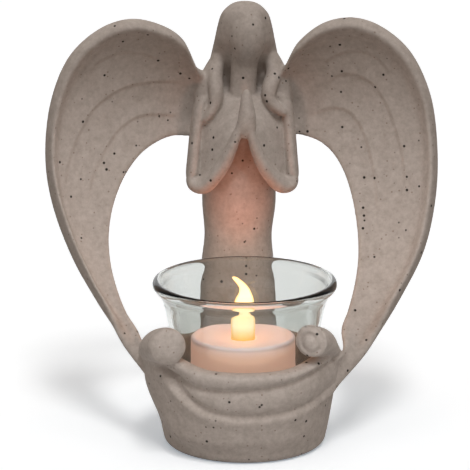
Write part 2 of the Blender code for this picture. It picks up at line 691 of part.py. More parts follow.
def candle_shell(look):
    """The candle's moulded shell, open below, with a dished top and a hole for the flame."""
    r, z, top = CANDLE_R, CANDLE_Z, CANDLE_TOP_Z
    hole = LENS_R + FIT_GAP
    edge = 1.0
    outer = [(r - 0.2, z), (r, z + 0.4), (r, top - edge)] + arc((r - edge, top - edge), edge, 30, 90, 3)
    dish = [(r - 2.6, top - 0.35), (0.45 * r, top - CANDLE_DISH), (hole, top - CANDLE_DISH)]
    under = top - CANDLE_DISH - CANDLE_TOP
    inside = [(hole, under), (r - CANDLE_WALL, under), (r - CANDLE_WALL, z)]
    return ring_solid("candle_shell", outer + dish + inside, look, sides=32)


def flame_lens(look):
    """The flame: a hollow dome on a flange under the shell's top, drawn out to a hooked tip."""
    under = CANDLE_TOP_Z - CANDLE_DISH - CANDLE_TOP - SEAT_GAP
    base = CANDLE_TOP_Z - CANDLE_DISH
    dome = base + LENS_DOME_H
    path = [
        (0.0, 0.0, under - LENS_FLANGE_T), (0.0, 0.0, under), (0.0, 0.0, under + 0.01), (0.0, 0.0, base),
        (0.0, 0.0, base + 0.3 * LENS_DOME_H), (0.0, 0.0, base + 0.6 * LENS_DOME_H),
        (0.1, 0.0, base + 0.8 * LENS_DOME_H), (0.25, 0.0, base + 0.93 * LENS_DOME_H), (0.5, 0.0, dome + 1.2),
        (0.75, 0.0, dome + 0.38 * FLAME_TIP_H), (0.3, 0.0, dome + 0.62 * FLAME_TIP_H),
        (-0.4 * FLAME_TIP_LEAN, 0.0, dome + 0.84 * FLAME_TIP_H), (-0.9 * FLAME_TIP_LEAN, 0.0, dome + FLAME_TIP_H),
    ]
    widths = [LENS_FLANGE_R, LENS_FLANGE_R, LENS_R, LENS_R, LENS_R + 0.15, LENS_R + 0.1,
              LENS_R - 0.1, LENS_R - 0.4, 3.3, 2.25, 1.7, 1.5, 0.9]
    rings = []
    for (x, y, z), r in zip(path, widths):
        rings.append([
            (x + r * math.cos(2 * math.pi * k / 20), y + r * math.sin(2 * math.pi * k / 20), z) for k in range(20)
        ])
    lens = loft("flame_lens", rings, look)
    bore = turned(
        "lens_bore",
        [(LENS_BORE_R, under - LENS_FLANGE_T - 1.0), (LENS_BORE_R, base + 0.45 * LENS_DOME_H),
         (0.55 * LENS_BORE_R, base + 0.62 * LENS_DOME_H)],
        helper=True,
        sides=20,
    )
    combine(lens, bore, "DIFFERENCE")
    return lens


def led_bulb(look):
    """A round 5 mm LED, whose collar sits in the mouth of the lens."""
    z = CANDLE_TOP_Z - CANDLE_DISH - CANDLE_TOP - SEAT_GAP - LENS_FLANGE_T
    dome = z + LED_H - LED_R
    profile = [(0.4, z), (LED_R, z), (LED_R, dome)] + arc((0.0, dome), LED_R, 25, 80, 3)
    return turned("led_bulb", profile, look, sides=16)


def lead(name, points, look):
    """A wire lead: a poly curve with a round bevel and filled caps."""
    curve = bpy.data.curves.new(name, "CURVE")
    curve.dimensions = "3D"
    curve.bevel_depth = LEAD_R * MM
    curve.bevel_resolution = 1
    curve.use_fill_caps = True
    spline = curve.splines.new("POLY")
    spline.points.add(len(points) - 1)
    for point, place in zip(spline.points, points):
        point.co = (*(Vector(place) * MM), 1.0)
    curve.materials.append(look)
    obj = bpy.data.objects.new(name, curve)
    bpy.context.scene.collection.objects.link(obj)
    return obj


def switch_x():
    """The switch runs midway between the battery well and the shell."""
    well = CELL_R + FIT_GAP + WELL_WALL
    return (well + CANDLE_R - CANDLE_WALL) / 2


def led_leads(look):
    led_z = CANDLE_TOP_Z - CANDLE_DISH - CANDLE_TOP - SEAT_GAP - LENS_FLANGE_T
    start = led_z - SEAT_GAP
    cell_top = CANDLE_Z + DOOR_T + FIT_GAP + CELL_H
    flange_top = CANDLE_Z + PLATE_T + SEAT_GAP + SWITCH_FLANGE
    turn_z = start - 2.2
    lead("led_lead_to_cell", [(-LEAD_SPREAD, 0.0, start), (-LEAD_SPREAD, 0.0, cell_top + SEAT_GAP)], look)
    reach = switch_x()
    lead(
        "led_lead_to_switch",
        [(LEAD_SPREAD, 0.0, start), (LEAD_SPREAD, 0.0, turn_z), (reach, 0.0, turn_z),
         (reach, 0.0, flange_top + SEAT_GAP)],
        look,
    )


def base_plate(look):
    """The candle's floor: a plate with a battery well, a screw boss and a slot for the switch."""
    z = CANDLE_Z
    plate_r = CANDLE_R - CANDLE_WALL - FIT_GAP
    well_r = CELL_R + FIT_GAP
    recess_r = well_r + DOOR_LIP + FIT_GAP
    recess_z = z + DOOR_T + FIT_GAP
    plate = ring_solid(
        "base_plate",
        [(recess_r, z), (plate_r, z), (plate_r, z + PLATE_T), (well_r + WELL_WALL, z + PLATE_T),
         (well_r + WELL_WALL, z + PLATE_T + WELL_H), (well_r, z + PLATE_T + WELL_H), (well_r, recess_z),
         (recess_r, recess_z)],
        look,
    )
    boss_x = -screw_reach()
    boss = turned(
        "screw_boss",
        [(0.3, z + 0.5 * PLATE_T), (SCREW_R + 1.4, z + 0.5 * PLATE_T), (SCREW_R + 1.4, z + SCREW_L + 2.0),
         (0.3, z + SCREW_L + 2.0)],
        helper=True, sides=16, centre=(boss_x, 0.0),
    )
    combine(plate, boss, "UNION")
    half = TAB_W / 2 + FIT_GAP
    tab = block(
        "tab_recess", (boss_x - half, -half, z - 1.0), (-well_r - 0.4, half, z + DOOR_T + FIT_GAP + 0.1), helper=True
    )
    combine(plate, tab, "DIFFERENCE")
    hole = turned(
        "screw_hole", [(SCREW_R + 0.1, z - 1.0), (SCREW_R + 0.1, z + SCREW_L + 0.6)],
        helper=True, sides=12, centre=(boss_x, 0.0),
    )
    combine(plate, hole, "DIFFERENCE")
    x = switch_x()
    slot = block(
        "switch_slot",
        (x - SWITCH_W / 2 - FIT_GAP, -SWITCH_L / 2 - SWITCH_TRAVEL - FIT_GAP, z - 1.0),
        (x + SWITCH_W / 2 + FIT_GAP, SWITCH_L / 2 + FIT_GAP, z + PLATE_T + 1.0),
        helper=True,
    )
    combine(plate, slot, "DIFFERENCE")
    notch = block(
        "strip_notch",
        (CELL_R - 1.0, -STRIP_W / 2 - FIT_GAP, z + PLATE_T - 0.1),
        (CELL_R + 2.0, STRIP_W / 2 + FIT_GAP, z + PLATE_T + WELL_H + 1.0),
        helper=True,
    )
    combine(plate, notch, "DIFFERENCE")
    return plate


def screw_reach():
    """How far the door's screw stands from the candle's axis."""
    return CELL_R + FIT_GAP + WELL_WALL + SCREW_R + 1.2


def battery_door(look):
    z = CANDLE_Z
    door_r = CELL_R + FIT_GAP + DOOR_LIP
    door = turned("battery_door", [(1.0, z), (door_r, z), (door_r, z + DOOR_T), (1.0, z + DOOR_T)], look, sides=36)
    tab = block(
        "door_tab", (-screw_reach() - TAB_W / 2, -TAB_W / 2, z), (-CELL_R + 2.0, TAB_W / 2, z + DOOR_T), helper=True
    )
    combine(door, tab, "UNION")
    hole = turned(
        "door_hole", [(SCREW_HEAD_R + FIT_GAP, z - 1.0), (SCREW_HEAD_R + FIT_GAP, z + 0.6 * DOOR_T),
                      (SCREW_R + FIT_GAP, z + 0.6 * DOOR_T + 0.01), (SCREW_R + FIT_GAP, z + DOOR_T + 1.0)],
        helper=True, sides=16, centre=(-screw_reach(), 0.0),
    )
    combine(door, hole, "DIFFERENCE")
    coin_slot = block("coin_slot", (-4.0, -0.7, z - 1.0), (4.0, 0.7, z + 0.5 * DOOR_T), helper=True)
    combine(door, coin_slot, "DIFFERENCE")
    return door


def door_screw(look):
    z = CANDLE_Z
    head = 0.6 * DOOR_T - SEAT_GAP
    profile = [(0.2, z + 0.1), (SCREW_HEAD_R, z + 0.1), (SCREW_HEAD_R, z + head),
               (SCREW_R - 0.2, z + head + 0.01), (SCREW_R - 0.2, z + SCREW_L), (0.2, z + SCREW_L + 0.2)]
    return turned("door_screw", profile, look, sides=16, centre=(-screw_reach(), 0.0))


def button_cell(look):
    """A 2032 cell: a can with a smaller cap on top."""
    z = CANDLE_Z + DOOR_T + FIT_GAP
    profile = [(1.0, z), (CELL_R - 0.3, z), (CELL_R, z + 0.3), (CELL_R, z + 0.78 * CELL_H),
               (CELL_R - 1.0, z + 0.9 * CELL_H), (CELL_R - 1.6, z + CELL_H), (1.0, z + CELL_H)]
    return turned("button_cell", profile, look, sides=32)


def cell_contact(look):
    """A strip that stands in the well's notch, against the cell, and reaches towards the switch."""
    z = CANDLE_Z + PLATE_T + SEAT_GAP
    x = CELL_R + SEAT_GAP
    upright = block("cell_contact", (x, -STRIP_W / 2, z), (x + STRIP_T, STRIP_W / 2, z + WELL_H - 0.6), look)
    reach = switch_x() - SWITCH_W / 2 - 2 * FIT_GAP - 0.2
    foot = block("contact_foot", (x, -STRIP_W / 2, z), (reach, STRIP_W / 2, z + STRIP_T), helper=True)
    combine(upright, foot, "UNION")
    return upright


def switch_slider(look):
    """The slide switch, shown on: a knob in the slot, held by a flange above the plate."""
    z = CANDLE_Z
    x = switch_x()
    y = 0.0
    knob = block(
        "switch_slider",
        (x - SWITCH_W / 2, y - SWITCH_L / 2, z + 0.4),
        (x + SWITCH_W / 2, y + SWITCH_L / 2, z + PLATE_T + SEAT_GAP + 0.4 * SWITCH_FLANGE), look,
    )
    flange = block(
        "slider_flange",
        (x - SWITCH_W / 2 - 2 * FIT_GAP, y - SWITCH_L / 2 - 2 * FIT_GAP, z + PLATE_T + SEAT_GAP),
        (x + SWITCH_W / 2 + 2 * FIT_GAP, y + SWITCH_L / 2 + 2 * FIT_GAP, z + PLATE_T + SEAT_GAP + SWITCH_FLANGE),
        helper=True,
    )
    combine(knob, flange, "UNION")
    return knob


def build():
    clear_scene()
    resin = material("cast sandstone resin", (0.52, 0.46, 0.41), 0.85)
    glass = material("clear glass", (0.92, 0.96, 0.95), 0.03, transmission=1.0)
    wax_white = material("ivory polypropylene", (0.86, 0.80, 0.74), 0.45)
    amber = material("frosted amber polypropylene", (1.0, 0.74, 0.25), 0.35, transmission=0.4)
    epoxy = material("yellow LED epoxy", (1.0, 0.85, 0.40), 0.15, transmission=0.7)
    steel = material("plated steel", (0.70, 0.70, 0.68), 0.25, metallic=1.0)
    tin = material("tinned wire", (0.74, 0.73, 0.70), 0.35, metallic=1.0)
    black = material("black ABS", (0.03, 0.03, 0.03), 0.5)
    figure_casting(resin)
    votive_glass(glass)
    before = set(bpy.data.objects)
    candle_shell(wax_white)
    flame_lens(amber)
    led_bulb(epoxy)
    led_leads(tin)
    base_plate(wax_white)
    battery_door(wax_white)
    door_screw(steel)
    button_cell(steel)
    cell_contact(steel)
    switch_slider(black)
    for obj in set(bpy.data.objects) - before:
        obj.location.x = CANDLE_X * MM


build()
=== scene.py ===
import math

import bpy
import numpy as np
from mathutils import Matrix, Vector


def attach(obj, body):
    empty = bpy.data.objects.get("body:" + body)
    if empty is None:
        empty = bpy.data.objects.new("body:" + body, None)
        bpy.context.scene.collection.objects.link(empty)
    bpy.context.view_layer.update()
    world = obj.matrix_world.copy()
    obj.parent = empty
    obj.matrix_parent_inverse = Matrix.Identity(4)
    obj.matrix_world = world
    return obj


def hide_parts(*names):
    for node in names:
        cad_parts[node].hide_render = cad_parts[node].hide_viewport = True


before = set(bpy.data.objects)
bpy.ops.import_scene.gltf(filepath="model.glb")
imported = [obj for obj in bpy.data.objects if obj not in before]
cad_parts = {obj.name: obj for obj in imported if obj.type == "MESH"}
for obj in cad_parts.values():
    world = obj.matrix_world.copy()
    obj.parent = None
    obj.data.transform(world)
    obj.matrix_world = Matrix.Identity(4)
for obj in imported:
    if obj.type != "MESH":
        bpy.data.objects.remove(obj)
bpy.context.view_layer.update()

# An angel candle holder. The cup's axis is Z, the front faces -Y.
# Numbers in the dictionaries are millimetres unless they say otherwise.
mm = 0.001


# Tools for surfaces

def ease(low, high, value):
    # 0 below low, 1 above high, and 3 t^2 - 2 t^3 in between
    t = np.clip((np.asarray(value, float) - low) / (high - low), 0.0, 1.0)
    return t * t * (3.0 - 2.0 * t)


def bell(value, width):
    # the bell curve exp(-(value / width)^2)
    return np.exp(-((value / width) ** 2))


def rounded(reach, radius):
    # quarter circle: 0 at an edge, 1 from one radius inwards
    t = np.clip(reach / radius, 0.0, 1.0)
    return np.sqrt(np.clip(1.0 - (1.0 - t) ** 2, 0.0, 1.0))


def through(points, shares):
    # Catmull-Rom curve through the points, read at shares of its length
    known = np.asarray(points, float)
    padded = np.vstack([2 * known[0] - known[1], known, 2 * known[-1] - known[-2]])
    t = np.linspace(0.0, 1.0, 24, endpoint=False)[None, :, None]
    a, b, c, d = (padded[k:len(padded) - 3 + k, None, :] for k in range(4))
    fine = 0.5 * (2 * b + (c - a) * t + (2 * a - 5 * b + 4 * c - d) * t**2
                  + (3 * b - a - 3 * c + d) * t**3)
    fine = np.vstack([fine.reshape(-1, known.shape[1]), known[-1]])
    steps = np.linalg.norm(np.diff(fine[:, :3], axis=0), axis=1)
    run = np.concatenate([[0.0], np.cumsum(steps)])
    at = np.asarray(shares) * run[-1]
    return np.stack([np.interp(at, run, fine[:, k]) for k in range(fine.shape[1])], axis=1)


def unit(vectors):
    # each vector over its own length
    return vectors / np.linalg.norm(vectors, axis=-1, keepdims=True)


def skin(grid, closed=False):
    # points and faces of a grid whose columns close into rings; rows end in a pole, or close too
    rows, columns = grid.shape[:2]
    points = grid.reshape(-1, 3)
    row = np.arange(rows if closed else rows - 1)[:, None]
    col = np.arange(columns)[None, :]
    low, high = row * columns, (row + 1) % rows * columns
    right = (col + 1) % columns
    quads = np.stack([low + col, low + right, high + right, high + col], axis=-1).reshape(-1, 4)
    if closed:
        return points, quads, np.empty((0, 3), int)
    poles = np.stack([grid[0].mean(axis=0), grid[-1].mean(axis=0)])
    ring, after = np.arange(columns), (np.arange(columns) + 1) % columns
    top = (rows - 1) * columns
    first = np.stack([after, ring, np.full(columns, len(points))], axis=1)
    last = np.stack([top + ring, top + after, np.full(columns, len(points) + 1)], axis=1)
    return np.vstack([points, poles]), quads, np.vstack([first, last])


def fillMesh(name, forms):
    # one mesh from several (points, quads, triangles), its points brought to metres
    points, corners, sizes, start = [], [], [], 0
    for xyz, quads, triangles in forms:
        points.append(xyz)
        corners += [(quads + start).ravel(), (triangles + start).ravel()]
        sizes += [np.full(len(quads), 4), np.full(len(triangles), 3)]
        start += len(xyz)
    points, corners, sizes = np.vstack(points), np.concatenate(corners), np.concatenate(sizes)
    mesh = bpy.data.meshes.new(name)
    mesh.vertices.add(len(points))
    mesh.vertices.foreach_set("co", (points * mm).ravel())
    mesh.loops.add(len(corners))
    mesh.loops.foreach_set("vertex_index", corners)
    mesh.polygons.add(len(sizes))
    mesh.polygons.foreach_set("loop_start", np.concatenate([[0], np.cumsum(sizes)[:-1]]))
    mesh.update(calc_edges=True)
    mesh.validate()
    return mesh


def addPiece(name, mesh, material, body, slot, *nodes):
    # a finished mesh as an object that rides on a body and stands for its CAD nodes
    piece = bpy.data.objects.new(name, mesh)
    bpy.context.scene.collection.objects.link(piece)
    mesh.shade_smooth()
    mesh.materials.append(material)
    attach(piece, body)
    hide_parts(*nodes)
    print("piece", name, len(mesh.polygons), "faces")
    return piece


def outward(form):
    # turns a closed form's faces to point outwards, by the sign of its volume
    points, quads, triangles = form
    both = np.vstack([quads[:, [0, 1, 2]], quads[:, [0, 2, 3]], triangles])
    a, b, c = (points[both[:, k]] for k in range(3))
    volume = np.einsum("ij,ij->i", a, np.cross(b, c)).sum()
    if volume < 0:
        quads, triangles = quads[:, ::-1], triangles[:, ::-1]
    return points, quads, triangles


# Tools for materials

def toLinear(hexColour):
    # sRGB hex to linear: (c / 12.92) when dark, ((c + 0.055) / 1.055)^2.4 otherwise
    channels = [int(hexColour[k:k + 2], 16) / 255.0 for k in (1, 3, 5)]
    linear = [c / 12.92 if c <= 0.04045 else ((c + 0.055) / 1.055) ** 2.4 for c in channels]
    return (*linear, 1.0)


def wire(tree, node, sockets):
    # each named socket of a node is linked, or set to a value
    for key, value in sockets.items():
        if isinstance(value, bpy.types.NodeSocket):
            tree.links.new(value, node.inputs[key])
        else:
            node.inputs[key].default_value = value


def addNode(tree, kind, sockets=None, stops=(), **settings):
    # one shader node with its settings and sockets, and a ramp's stops as (place, colour)
    node = tree.nodes.new("ShaderNode" + kind)
    for key, value in settings.items():
        setattr(node, key, value)
    wire(tree, node, sockets or {})
    if stops:
        marks = node.color_ramp.elements
        marks[0].color, marks[1].color = stops[0][1], stops[-1][1]
        for place, colour in stops[1:-1]:
            marks.new(place).color = colour
    return node


def startMaterial(name, sockets, relief=None):
    # a new material; its fine relief, where given, is (width in mm, detail, strength, height in mm)
    made = bpy.data.materials.new(name)
    made.use_nodes = True
    tree = made.node_tree
    shader = tree.nodes["Principled BSDF"]
    wire(tree, shader, sockets)
    place = addNode(tree, "TexCoord").outputs["Object"]
    if relief:
        width, detail, strength, height = relief
        noise = addNode(tree, "TexNoise", {
            "Vector": place, "Scale": 1000 / width, "Detail": detail})
        bump = addNode(tree, "Bump", {
            "Height": noise.outputs["Fac"], "Strength": strength, "Distance": height * mm})
        wire(tree, shader, {"Normal": bump.outputs["Normal"]})
    return made, tree, shader, place


# Materials

# Cast sandstone resin: polyester resin filled with stone powder and sparse dark grit, cast in a
# rubber mould. It is matt and fine-grained, with small blotches and black specks.
sandstone = {
    "colour": "#B5ABA4", "shadeColour": "#A59B93", "paleColour": "#C3BAB3", "toneRange": (0.62, 1.38),
    "blotch": 3.2, "grain": 0.7, "grainHeight": 0.06, "grainStrength": 0.8,
    # brown grit, then black specks, as (spacing, width, colour, share of the places, strength)
    "specks": [(2.4, 0.7, "#7A675B", 0.45, 0.6), (4.0, 1.1, "#14110F", 0.42, 0.95)],
}


def sandstoneResin():
    look = sandstone
    made, tree, shader, place = startMaterial("cast sandstone resin", {
        "Roughness": 0.86, "IOR": 1.5, "Specular IOR Level": 0.3})
    blotch = addNode(tree, "TexNoise", {
        "Vector": place, "Scale": 1000 / look["blotch"], "Detail": 3.0, "Roughness": 0.6})
    grain = addNode(tree, "TexNoise", {
        "Vector": place, "Scale": 1000 / look["grain"] / 2, "Detail": 4.0, "Roughness": 0.7})
    tone = addNode(tree, "Math", {
        0: blotch.outputs["Fac"], 1: grain.outputs["Fac"]}, operation="ADD")
    low, high = look["toneRange"]
    spread = addNode(tree, "MapRange", {
        "Value": tone.outputs[0], "From Min": low, "From Max": high})
    colour = addNode(tree, "ValToRGB", {"Fac": spread.outputs[0]}, stops=[
        (0.0, toLinear(look["shadeColour"])), (0.5, toLinear(look["colour"])),
        (1.0, toLinear(look["paleColour"]))]).outputs["Color"]
    for every, width, hexColour, share, strength in look["specks"]:
        cells = addNode(tree, "TexVoronoi", {"Vector": place, "Scale": 1000 / every})
        reach = width / 2 / every  # half a speck in cell widths
        disc = addNode(tree, "MapRange", {
            "Value": cells.outputs["Distance"], "From Min": 1.15 * reach, "From Max": 0.75 * reach})
        chosen = addNode(tree, "SeparateColor", {"Color": cells.outputs["Color"]})
        some = addNode(tree, "Math", {0: chosen.outputs[0], 1: share}, operation="LESS_THAN")
        mask = addNode(tree, "Math", {
            0: disc.outputs[0], 1: some.outputs[0]}, operation="MULTIPLY")
        amount = addNode(tree, "Math", {0: mask.outputs[0], 1: strength}, operation="MULTIPLY")
        colour = addNode(tree, "Mix", {
            0: amount.outputs[0], 6: colour, 7: toLinear(hexColour)}, data_type="RGBA").outputs[2]
    # the black specks, which come last, are small pits in the grain
    height = addNode(tree, "Math", {
        0: grain.outputs["Fac"], 1: mask.outputs[0]}, operation="SUBTRACT")
    bump = addNode(tree, "Bump", {
        "Height": height.outputs[0], "Strength": look["grainStrength"],
        "Distance": look["grainHeight"] * mm})
    wire(tree, shader, {"Base Color": colour, "Normal": bump.outputs["Normal"]})
    return made


# Soda-lime glass, pressed: clear and smooth, with a slow waviness and a faint grey tint where it
# is thick
def sodaLimeGlass():
    return startMaterial("pressed soda-lime glass", {
        "Roughness": 0.0, "IOR": 1.5, "Transmission Weight": 1.0, "Base Color": toLinear("#DDE0DD")},
        relief=(14.0, 1.0, 0.2, 0.25))[0]


# Ivory polypropylene, injection moulded: waxy, slightly cloudy, lets the LED glow through. The side is
# painted a darker orange for that glow and for the cup's shade, and turns to the top colour about the
# height "turn"; the glow itself is painted as emission, which fades over "glowEdge".
ivory = {
    "topColour": "#EEE2E4", "paintedGlowAndShadeColour": "#E8C0A6", "turn": 38.6, "blend": 2.6, "cloud": 9.0,
    "glow": 0.5, "glowTop": 0.22, "glowEdge": (39.0, 40.0), "glowColour": "#FFCCB6",
}


def ivoryPolypropylene(name, lit=False):
    look = ivory
    made, tree, shader, place = startMaterial(name, {
        "Roughness": 0.42, "IOR": 1.49, "Subsurface Weight": 0.25,
        "Subsurface Radius": (1.0, 0.55, 0.35), "Subsurface Scale": 2.5 * mm},
        relief=(1.2, 2.0, 0.3, 0.03))
    cloud = addNode(tree, "TexNoise", {
        "Vector": place, "Scale": 1000 / look["cloud"], "Detail": 2.0})
    base = toLinear(look["topColour"])
    if lit:
        height = addNode(tree, "SeparateXYZ", {"Vector": place}).outputs["Z"]
        # painted light: the side is darker and orange for the LED's glow through the wall and the cup's
        # shade, the top stays pale
        share = addNode(tree, "MapRange", {
            "Value": height, "From Min": (look["turn"] - look["blend"]) * mm,
            "From Max": (look["turn"] + look["blend"]) * mm}, interpolation_type="SMOOTHSTEP")
        base = addNode(tree, "Mix", {
            0: share.outputs[0], 6: toLinear(look["paintedGlowAndShadeColour"]), 7: base}, data_type="RGBA").outputs[2]
        # painted glow: emission stands in for the LED's light through the wall, stronger low on the side
        # than at the top
        low, high = look["glowEdge"]
        glow = addNode(tree, "MapRange", {
            "Value": height, "From Min": low * mm, "From Max": high * mm, "To Min": look["glow"],
            "To Max": look["glowTop"]})
        wire(tree, shader, {"Emission Color": toLinear(look["glowColour"]),
                            "Emission Strength": glow.outputs[0]})
    light = addNode(tree, "MapRange", {
        "Value": cloud.outputs["Fac"], "From Min": 0.3, "From Max": 0.7, "To Min": 0.96, "To Max": 1.0})
    tint = addNode(tree, "Mix", {0: 1.0, 6: base, 7: light.outputs[0]},
                   data_type="RGBA", blend_type="MULTIPLY")
    wire(tree, shader, {"Base Color": tint.outputs[2]})
    return made


# Frosted amber polypropylene, moulded over an LED: it glows, most of all near its foot, and its
# edges stay a deeper gold. Glow colours are (height, colour).
amber = {
    "colour": "#F3C258", "edgeColour": "#E6A41C", "strength": 1.05,
    "glow": [(40.0, "#F6B040"), (45.0, "#FFFCD8"), (50.5, "#FFF4C8"), (55.5, "#FFFADC"),
        (62.5, "#FAF0C4")],
}


def glowingAmber():
    look = amber
    made, tree, shader, place = startMaterial("frosted amber polypropylene", {
        "Roughness": 0.35, "IOR": 1.49, "Base Color": toLinear(look["colour"]),
        "Emission Strength": look["strength"]}, relief=(0.8, 3.0, 0.4, 0.04))
    height = addNode(tree, "SeparateXYZ", {"Vector": place})
    low, high = look["glow"][0][0], look["glow"][-1][0]
    share = addNode(tree, "MapRange", {
        "Value": height.outputs["Z"], "From Min": low * mm, "From Max": high * mm})
    ramp = addNode(tree, "ValToRGB", {"Fac": share.outputs[0]}, stops=[
        ((z - low) / (high - low), toLinear(hexColour)) for z, hexColour in look["glow"]])
    facing = addNode(tree, "LayerWeight", {"Blend": 0.4})
    edge = addNode(tree, "MapRange", {
        "Value": facing.outputs["Facing"], "From Min": 0.3, "From Max": 0.8, "To Max": 0.9})
    glow = addNode(tree, "Mix", {
        0: edge.outputs[0], 6: ramp.outputs["Color"], 7: toLinear(look["edgeColour"])}, data_type="RGBA")
    wire(tree, shader, {"Emission Color": glow.outputs[2]})
    return made


# Yellow epoxy of the LED bulb, cast in a cup mould: clear and glossy, lit from inside
def ledEpoxy():
    made, tree, shader, place = startMaterial("yellow LED epoxy", {
        "Roughness": 0.12, "IOR": 1.53, "Transmission Weight": 0.5, "Emission Strength": 0.8})
    cloud = addNode(tree, "TexNoise", {"Vector": place, "Scale": 1000 / 2.0, "Detail": 2.0})
    ramp = addNode(tree, "ValToRGB", {"Fac": cloud.outputs["Fac"]}, stops=[
        (0.0, toLinear("#F2C24A")), (1.0, toLinear("#FFE08A"))])
    wire(tree, shader, {"Base Color": ramp.outputs["Color"], "Emission Color": ramp.outputs["Color"]})
    return made


# Metals of the candle: nickel plate is bright with fine rolling lines, tin is duller
def brightMetal(name, hexColour, roughness, lines):
    made, tree, shader, place = startMaterial(name, {"Roughness": roughness, "Metallic": 1.0})
    stretch = addNode(tree, "Mapping", {"Vector": place, "Scale": (1.0, lines, 1.0)})
    rolled = addNode(tree, "TexNoise", {
        "Vector": stretch.outputs[0], "Scale": 1000 / 3.0, "Detail": 3.0})
    dark = [0.86 * c for c in toLinear(hexColour)[:3]]
    ramp = addNode(tree, "ValToRGB", {"Fac": rolled.outputs["Fac"]}, stops=[
        (0.0, (*dark, 1.0)), (1.0, toLinear(hexColour))])
    bump = addNode(tree, "Bump", {
        "Height": rolled.outputs["Fac"], "Strength": 0.3, "Distance": 0.01 * mm})
    wire(tree, shader, {"Base Color": ramp.outputs["Color"], "Normal": bump.outputs["Normal"]})
    return made


# Black ABS, injection moulded with a fine spark texture
def blackAbs():
    made, tree, shader, place = startMaterial("black moulded ABS", {"Roughness": 0.5, "IOR": 1.53})
    spark = addNode(tree, "TexNoise", {"Vector": place, "Scale": 1000 / 0.4, "Detail": 3.0})
    ramp = addNode(tree, "ValToRGB", {"Fac": spark.outputs["Fac"]}, stops=[
        (0.0, toLinear("#202020")), (1.0, toLinear("#2E2E2E"))])
    bump = addNode(tree, "Bump", {
        "Height": spark.outputs["Fac"], "Strength": 0.5, "Distance": 0.02 * mm})
    wire(tree, shader, {"Base Color": ramp.outputs["Color"], "Normal": bump.outputs["Normal"]})
    return made


print("stage: materials")
resinMade = sandstoneResin()
glassMade = sodaLimeGlass()
shellMade = ivoryPolypropylene("ivory polypropylene, lit", lit=True)
ivoryMade = ivoryPolypropylene("ivory polypropylene")
amberMade = glowingAmber()
epoxyMade = ledEpoxy()
nickelMade = brightMetal("nickel-plated steel", "#C9C6BF", 0.24, 18.0)
tinMade = brightMetal("tinned copper wire", "#BFBCB4", 0.36, 1.0)
absMade = blackAbs()


# The cup

cup = {
    "footR": 29.8, "rimR": 34.8, "rimZ": 35.4, "wall": 5, "floorZ": 17, "footEdge": 3.2,
    "wellFootR": 24.6, "lip": 1.6, "wellRise": 1.6, "wellSpread": 1.8, "wellGap": 0.2, "clearOver": 12,
    "columns": 420, "rows": 150,
    # folds as (degrees round from the front, share of the rim's height)
    "drapeEdge": [(-90, 1.06), (-72, 1.03), (-61, 1), (-54, 0.88), (-46, 0.77), (-38, 0.68), (-29, 0.60),
        (-19, 0.545), (-8, 0.52), (6, 0.52), (18, 0.535), (32, 0.55), (46, 0.57), (62, 0.60)],
    "rimGroove": [(-70, 0.96), (-58, 0.93), (-50, 0.865), (-39, 0.835), (-24, 0.84), (-8, 0.852),
        (8, 0.875), (20, 0.905), (34, 0.935), (48, 0.95), (60, 0.985), (72, 1.02)],
}


def cupRadius(share):
    # the wall widens a little less towards the rim: foot + (rim - foot) share^0.85
    return cup["footR"] + (cup["rimR"] - cup["footR"]) * np.clip(share, 0.0, None) ** 0.85


def rimHeight(degrees):
    # level, with a low rise under each scroll
    return cup["rimZ"] + 2.6 * bell(np.abs(degrees) - 52.0, 17.0)


def foldRelief(degrees, share):
    # the left wing's end lies low across the front, a band from the right wing above it, then
    # the rolled rim; each band is a half sine across, and deep grooves run between them
    edge = np.interp(degrees, *np.transpose(cup["drapeEdge"]))
    groove = np.interp(degrees, *np.transpose(cup["rimGroove"]))
    front = ease(-78.0, -60.0, degrees) * (1.0 - ease(64.0, 80.0, degrees))
    sideways = 1.0 - ease(-80.0, -45.0, degrees)
    start = ease(0.12 * sideways, 0.2 + 0.5 * sideways, share)
    thick = 3.1 - 2.0 * ease(-60.0, 20.0, degrees)
    shown = ease(-140.0, -95.0, degrees) * (1.0 - ease(40.0, 70.0, degrees))
    drape = thick * shown * start * (1.0 - ease(edge - 0.075, edge + 0.03, share))
    lip = 0.5 * shown * ease(-75.0, -50.0, degrees) * bell(share - edge + 0.085, 0.07)
    across = np.clip((share - edge) / np.maximum(groove - edge, 0.03), 0.0, 1.0)
    band = 1.7 * np.sin(np.pi * across) ** 0.6 * ease(-52.0, -26.0, degrees)
    up = np.clip((share - groove) / (1.08 - groove), 0.0, 1.0)
    rim = 1.9 * np.sin(np.pi * up) ** 0.6
    under = 1.5 * bell(degrees + 47.0, 9.0) * bell(share - 0.88, 0.09)  # hollow under the left scroll
    cut = under + 1.0 * bell(share - groove, 0.028) + 0.8 * (1.0 - ease(30.0, 60.0, degrees)) * bell(
        share - edge - 0.02, 0.03)
    return drape + lip + front * (band + rim - cut)


